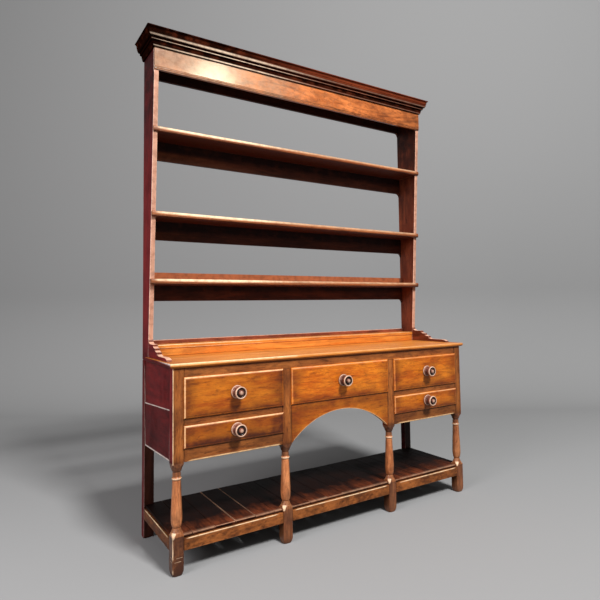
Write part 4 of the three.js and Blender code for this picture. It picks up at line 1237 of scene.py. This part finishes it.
drawerShape = {
    "thumbnail": 8.5 * mm, "step": 1.2 * mm, "lip start": 1.8 * mm, "steps": 8, "grid": 14 * mm,
    "beside thumbnail": (0, 0.4 * mm, 5 * mm, 12 * mm),    # more lines of points, past its inner edge
    "behind front": 0.3 * mm, "below face": 0.1 * mm, "body inset": 5 * mm, "waviness": 0.5 * mm, "waves": 9,
    # lips pale from wear, with painted light on the top and left ones and painted shade on the others
    "worn": {"left": 0.8, "right": 0.2, "bottom": 0.1, "top": 1.0}, "lip shade": 0.3,
    "rub middle": 0.5, "rub half width": 0.45, "rub strength": 1.5,    # over the thumbnail's width
    # how far the dark border reaches in from each side, and how dark it is
    "border": {
        "left": (60 * mm, 0.65), "right": (75 * mm, 0.65), "bottom": (34 * mm, 0.65), "top": (14 * mm, 0.25),
    },
    # a painted shadow round the knob
    "knob shadow": (48 * mm, 0.5),
    # how light each front is, how dirty all over, and how pale its lips are from wear and painted light
    "tones": {
        "drawer_left_upper": (-0.7, 0.05, 1.0), "drawer_left_lower": (-1.0, 0.3, 1.0),
        "drawer_middle": (0.8, 0.0, 0.5), "drawer_right_upper": (0.0, 0.0, 0.45),
        "drawer_right_lower": (-0.2, 0.05, 0.6),
    },
}
trayShape = {"finish": "bare", "along": "Y", "edge": 1.2 * mm, "cut": 100 * mm}
knobShape = {
    "steps round": 64, "height": 48 * mm, "steps between": 3, "tenon": 8 * mm, "tip wear": 0.4,
    "tones": {"drawer_middle": -1.2}, "other tones": 0.0,    # the middle one is darkest
    # rubbed pale: where each is highest, how far the wear fades, how strong it is
    "rim": {"at": 41.6 * mm, "fade": 2.8 * mm, "top": 1.3, "strength": 1.0, "from radius": 20 * mm},
    "rose": {
        "at": 4.4 * mm, "fade": 2.2 * mm, "top": 1.0, "strength": 0.8, "from radius": 22 * mm, "to": 8 * mm,
    },
    "button": {"fade": 4 * mm, "strength": 0.6, "to radius": 9 * mm, "from": 40 * mm},
    # dark: the dish round the button and the neck behind the rim
    "dish": (10.8 * mm, 19.5 * mm), "dish from": 36 * mm, "dish darkening": 0.95,
    "neck": (6 * mm, 24 * mm), "neck radius": 20 * mm, "neck darkening": 0.5,
    # radius and distance out of the drawer front, in mm, from the rose to the button
    "turning": [
        (27.0, 0.0), (27.0, 2.2), (26.4, 4.0), (25.0, 5.2), (22.6, 5.8), (21.6, 6.6), (20.4, 8.6),
        (18.6, 11.0), (17.4, 14.0), (17.0, 17.5), (17.4, 20.5), (18.6, 23.2), (19.2, 24.2), (19.0, 25.2),
        (19.8, 26.4), (21.6, 28.2), (23.4, 30.6), (24.6, 33.2), (25.0, 36.0), (25.0, 39.0), (24.6, 41.2),
        (23.6, 42.8), (22.2, 43.4), (20.8, 43.0), (19.8, 41.6), (18.8, 39.0), (17.0, 37.4), (14.6, 36.8),
        (12.2, 37.0), (11.0, 37.8), (10.6, 39.8), (10.2, 42.4), (9.0, 44.8), (7.0, 46.6), (4.0, 47.7),
        (0.0, 48.0),
    ],
}


def gridLines(low, high, near, step):    # cut lines that crowd towards both ends
    lines = [low + d for d in near] + [high - d for d in near]
    inner = (high - low) - 2 * near[-1]
    count = max(2, round(inner / step))
    lines += [low + near[-1] + inner * i / count for i in range(1, count)]
    return sorted(lines)


def lipDepth(distance, face):    # where the front face lies, at a distance in from the nearest side
    shape = drawerShape
    width = shape["thumbnail"]
    lipFront = frontPlane - shape["behind front"] - shape["lip start"]
    field = face + shape["below face"]
    if distance > width + shape["beside thumbnail"][1] / 2:    # past the small step at the thumbnail
        return field
    top = field + shape["step"]
    share = max(0.0, 1 - distance / width)
    return lipFront + (top - lipFront) * math.sqrt(max(0.0, 1 - share * share))


def frontDirtAndShade(fromSides, nearest, fromKnob):    # dark borders, painted shade on dim lips, a painted knob shadow
    shape = drawerShape
    width = shape["thumbnail"]
    if fromSides[nearest] < width:
        return shape["lip shade"] * (1 - shape["worn"][nearest])
    reach, dark = shape["knob shadow"]
    borders = [dark * max(0.0, 1 - fromKnob / reach)]
    for side, (reach, dark) in shape["border"].items():
        borders.append(dark * (1 - (fromSides[side] - width) / reach))
    return max(borders)


def makeDrawerFront(drawer):
    shape = drawerShape
    low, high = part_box(drawer + "_front")
    width = shape["thumbnail"]
    near = [width * i / shape["steps"] for i in range(shape["steps"])]
    near += [width + more for more in shape["beside thumbnail"]]
    xs = gridLines(low.x, high.x, near, shape["grid"])
    zs = gridLines(low.z, high.z, near, shape["grid"])
    knobLow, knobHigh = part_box(drawer + "_knob")
    knobMiddle = (knobLow + knobHigh) / 2
    shade, allOver, lips = shape["tones"][drawer]
    seed = Vector((low.x * 5, 2.2, low.z * 7))

    mesh = bmesh.new()
    wearAndHighlight, grimeAndShade = floatLayer(mesh, "wearAndHighlight"), floatLayer(mesh, "grimeAndShade")
    grid = {}
    for i, x in enumerate(xs):
        for k, z in enumerate(zs):
            fromSides = {"left": x - low.x, "right": high.x - x, "bottom": z - low.z, "top": high.z - z}
            nearest = min(fromSides, key=fromSides.get)
            distance = fromSides[nearest]
            point = Vector((x, lipDepth(distance, low.y), z))
            point.y += shape["waviness"] * (0.5 + 0.5 * noise.noise(point * shape["waves"] + seed))
            vert = mesh.verts.new(point)
            offMiddle = abs(distance / width - shape["rub middle"]) / shape["rub half width"]
            vert[wearAndHighlight] = clamp((1 - offMiddle) * shape["rub strength"]) * shape["worn"][nearest] * lips
            fromKnob = math.hypot(x - knobMiddle.x, z - knobMiddle.z)
            vert[grimeAndShade] = clamp(frontDirtAndShade(fromSides, nearest, fromKnob) + allOver)
            grid[i, k] = vert
    lastX, lastZ = len(xs) - 1, len(zs) - 1
    for i in range(lastX):
        for k in range(lastZ):
            mesh.faces.new((grid[i, k], grid[i + 1, k], grid[i + 1, k + 1], grid[i, k + 1]))
    rim = [grid[i, 0] for i in range(lastX + 1)] + [grid[lastX, k] for k in range(1, lastZ + 1)]
    rim += [grid[i, lastZ] for i in range(lastX - 1, -1, -1)] + [grid[0, k] for k in range(lastZ - 1, 0, -1)]
    lipBack = frontPlane - shape["behind front"]
    inset = shape["body inset"]
    loops = [rim]
    for y, pull in ((lipBack, 0.0), (lipBack, inset), (high.y, inset)):    # the lip's back, then the body
        places = [(clamp(v.co.x, low.x + pull, high.x - pull), y, clamp(v.co.z, low.z + pull, high.z - pull))
                  for v in rim]
        loops.append([mesh.verts.new(place) for place in places])
    for first, second in zip(loops, loops[1:]):
        joinLoops(mesh, first, second)
    mesh.faces.new(loops[-1])
    bmesh.ops.recalc_face_normals(mesh, faces=mesh.faces)
    addPiece(drawer + "_panel", mesh, drawer, "waxed", "X", [drawer + "_front"], shade)


def smoothProfile(profile, steps):    # a curve through all the points of a profile
    smooth = []
    for i in range(len(profile) - 1):
        four = (profile[max(i - 1, 0)], profile[i], profile[i + 1], profile[min(i + 2, len(profile) - 1)])
        for s in range(steps):
            t = s / steps
            smooth.append(tuple(0.5 * (2 * b + (c - a) * t + (2 * a - 5 * b + 4 * c - d) * t * t
                                       + (3 * b - a - 3 * c + d) * t ** 3)
                                for a, b, c, d in zip(*four)))
    return smooth


def knobRub(r, out):    # how pale the rim, the rose and the button are at a radius and a distance out
    rim, rose, button = (knobShape[key] for key in ("rim", "rose", "button"))
    amounts = [0.0]
    if r > rim["from radius"]:
        amounts.append(rim["strength"] * (rim["top"] - abs(out - rim["at"]) / rim["fade"]))
    if r > rose["from radius"] and out < rose["to"]:
        amounts.append(rose["strength"] * (rose["top"] - abs(out - rose["at"]) / rose["fade"]))
    if r < button["to radius"] and out > button["from"]:
        amounts.append(button["strength"] * (1 - (knobShape["height"] - out) / button["fade"]))
    return max(amounts)


def knobDarkening(r, out):
    shape = knobShape
    if out > shape["dish from"] and shape["dish"][0] < r < shape["dish"][1]:
        return shape["dish darkening"]
    inNeck = r < shape["neck radius"] and shape["neck"][0] < out < shape["neck"][1]
    return shape["neck darkening"] if inNeck else 0.0


def makeKnob(drawer):
    shape = knobShape
    low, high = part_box(drawer + "_knob")
    centre = (low + high) / 2
    base = low.y + shape["height"]    # the face that the rose stands on
    steps = shape["steps round"]
    profile = [(r * mm, out * mm) for r, out in shape["turning"]]

    mesh = bmesh.new()
    wearAndHighlight, grimeAndShade = floatLayer(mesh, "wearAndHighlight"), floatLayer(mesh, "grimeAndShade")

    def circle(r, y):
        angles = [turn * j / steps for j in range(steps)]
        return [mesh.verts.new((centre.x + r * math.cos(a), y, centre.z + r * math.sin(a))) for a in angles]

    rings = []
    for r, out in smoothProfile(profile, shape["steps between"]):
        rings.append(circle(r, base - out))
        for vert in rings[-1]:
            vert[wearAndHighlight], vert[grimeAndShade] = knobRub(r, out), knobDarkening(r, out)
    tip = mesh.verts.new((centre.x, base - profile[-1][1], centre.z))
    tip[wearAndHighlight] = shape["tip wear"]
    for j in range(steps):
        mesh.faces.new((rings[-1][j], rings[-1][(j + 1) % steps], tip))
    rings.insert(0, circle(shape["tenon"], base))    # the tenon in the front's hole
    rings.insert(0, circle(shape["tenon"], high.y))
    for first, second in zip(rings, rings[1:]):
        joinLoops(mesh, first, second)
    mesh.faces.new(rings[0])
    bmesh.ops.recalc_face_normals(mesh, faces=mesh.faces)
    tone = shape["tones"].get(drawer, shape["other tones"])
    addPiece(drawer + "_pull", mesh, drawer, "knob", "Y", [drawer + "_knob"], tone)


for drawer in drawerShape["tones"]:
    makeDrawerFront(drawer)
    boardFromNode(drawer + "_box", drawer + "_tray", trayShape, body=drawer)
    makeKnob(drawer)

print("Stage: floor, light and camera")

stageLook = {
    "floor": (158, 158, 158), "bounce": (84, 84, 84), "clouds": (150, 150, 150), "cloudiness": 0.06,
    "scale": 0.7, "roughness": 0.9, "shine": 0.1,
    # the sweep goes from near to back, then up in a round
    "near": -7.0, "back": 2.4, "round": 1.2, "round steps": 24, "half width": 7.0, "height": 6.0,
}
lightLook = {    # places and sizes in metres, power in watts
    "keyLamp": {
        "place": (0.4, -5.7, 7.2), "aim": (0.0, 0.0, 1.0), "size": 1.7, "power": 900.0, "colour": (1, 1, 1),
        "lights surfaces": True,
    },
    "friezeLamp": {    # only gives the polish its glint
        "place": (0.37, -2.2, 3.1), "aim": (-0.53, 0.1, 2.05), "size": 0.4, "power": 19.0,
        "colour": (1, 0.93, 0.68), "lights surfaces": False,
    },
    "sideLamp": {
        "place": (-4.2, -1.4, 2.6), "aim": (-0.5, 0.0, 1.0), "size": 2.2, "power": 105.0,
        "colour": (1, 0.96, 0.98), "lights surfaces": True,
    },
}
skyStrength = 0.2
cameraLook = {
    "place": (-1.4280, -1.9966, 1.0124),    # from the middle of the front, at the floor
    "yaw": 33.2306, "pitch": 3.4488, "roll": -0.8485, "lens": 31.2, "film width": 36,
    "shift": (-0.0318, -0.0418),
}


def makeStage():
    look = stageLook
    outline = [(look["near"], floorLevel)]
    radius = look["round"]
    for i in range(look["round steps"] + 1):
        angle = math.pi / 2 * i / look["round steps"]
        rise = radius - radius * math.cos(angle)
        outline.append((look["back"] + radius * math.sin(angle), floorLevel + rise))
    outline.append((look["back"] + radius, look["height"]))
    mesh = bmesh.new()
    wide = look["half width"]
    left, right = ([mesh.verts.new((x, y, z)) for y, z in outline] for x in (-wide, wide))
    for i in range(len(outline) - 1):
        mesh.faces.new((left[i], right[i], right[i + 1], left[i + 1]))
    data = bpy.data.meshes.new("floorSweep")
    mesh.to_mesh(data)
    mesh.free()
    data.shade_smooth()
    material = bpy.data.materials.new("paperSweep")
    material.use_nodes = True
    tree = material.node_tree
    tree.nodes.clear()
    place = addNode(tree, "ShaderNodeTexCoord").outputs["Object"]
    cloud = noiseOf(tree, place, look["scale"], detail=2.0)
    path = addNode(tree, "ShaderNodeLightPath").outputs
    seen = calc(tree, "MAXIMUM", calc(tree, "MAXIMUM", path["Is Camera Ray"], path["Is Glossy Ray"]),
                path["Is Transmission Ray"])
    colour = mixColour(tree, seen, paint(*look["bounce"]), paint(*look["floor"]))
    colour = mixColour(tree, times(tree, cloud, look["cloudiness"]), colour, paint(*look["clouds"]))
    shader = addNode(tree, "ShaderNodeBsdfPrincipled", {
        "Base Color": colour, "Roughness": look["roughness"], "Specular IOR Level": look["shine"]})
    addNode(tree, "ShaderNodeOutputMaterial", {"Surface": shader.outputs[0]})
    data.materials.append(material)
    floor = bpy.data.objects.new("floorSweep", data)
    bpy.context.scene.collection.objects.link(floor)
    floor.rotation_euler = (0, 0, -math.radians(cameraLook["yaw"]))


def addLamp(name, look):
    data = bpy.data.lights.new(name, "AREA")
    data.shape = "DISK"
    data.size = look["size"]
    data.energy = look["power"]
    data.color = look["colour"]
    lamp = bpy.data.objects.new(name, data)
    bpy.context.scene.collection.objects.link(lamp)
    lamp.location = look["place"]
    lamp.rotation_euler = (Vector(look["aim"]) - Vector(look["place"])).to_track_quat("-Z", "Y").to_euler()
    lamp.visible_diffuse = look["lights surfaces"]


def makeCamera():
    look = cameraLook
    yaw, pitch, roll = (math.radians(look[key]) for key in ("yaw", "pitch", "roll"))
    forward = Vector((math.sin(yaw) * math.cos(pitch), math.cos(yaw) * math.cos(pitch), math.sin(pitch)))
    right = Vector((math.cos(yaw), -math.sin(yaw), 0))
    up = right.cross(forward)
    level = right * math.cos(roll) + up * math.sin(roll)
    upright = up * math.cos(roll) - right * math.sin(roll)
    data = bpy.data.cameras.new("camera")
    data.sensor_width = look["film width"]
    data.lens = look["lens"]
    data.shift_x, data.shift_y = look["shift"]
    camera = bpy.data.objects.new("camera", data)
    bpy.context.scene.collection.objects.link(camera)
    basis = Matrix((level, upright, -forward)).transposed().to_4x4()
    x, y, z = look["place"]
    camera.matrix_world = Matrix.Translation((x, y + frontPlane, z)) @ basis
    bpy.context.scene.camera = camera


makeStage()
for lampName, lampLook in lightLook.items():
    addLamp(lampName, lampLook)
makeCamera()

world = bpy.data.worlds.new("studioAir")
bpy.context.scene.world = world
world.use_nodes = True
world.node_tree.nodes["Background"].inputs[0].default_value = (1, 1, 1, 1)
world.node_tree.nodes["Background"].inputs[1].default_value = skyStrength
bpy.context.scene.view_settings.view_transform = "Standard"
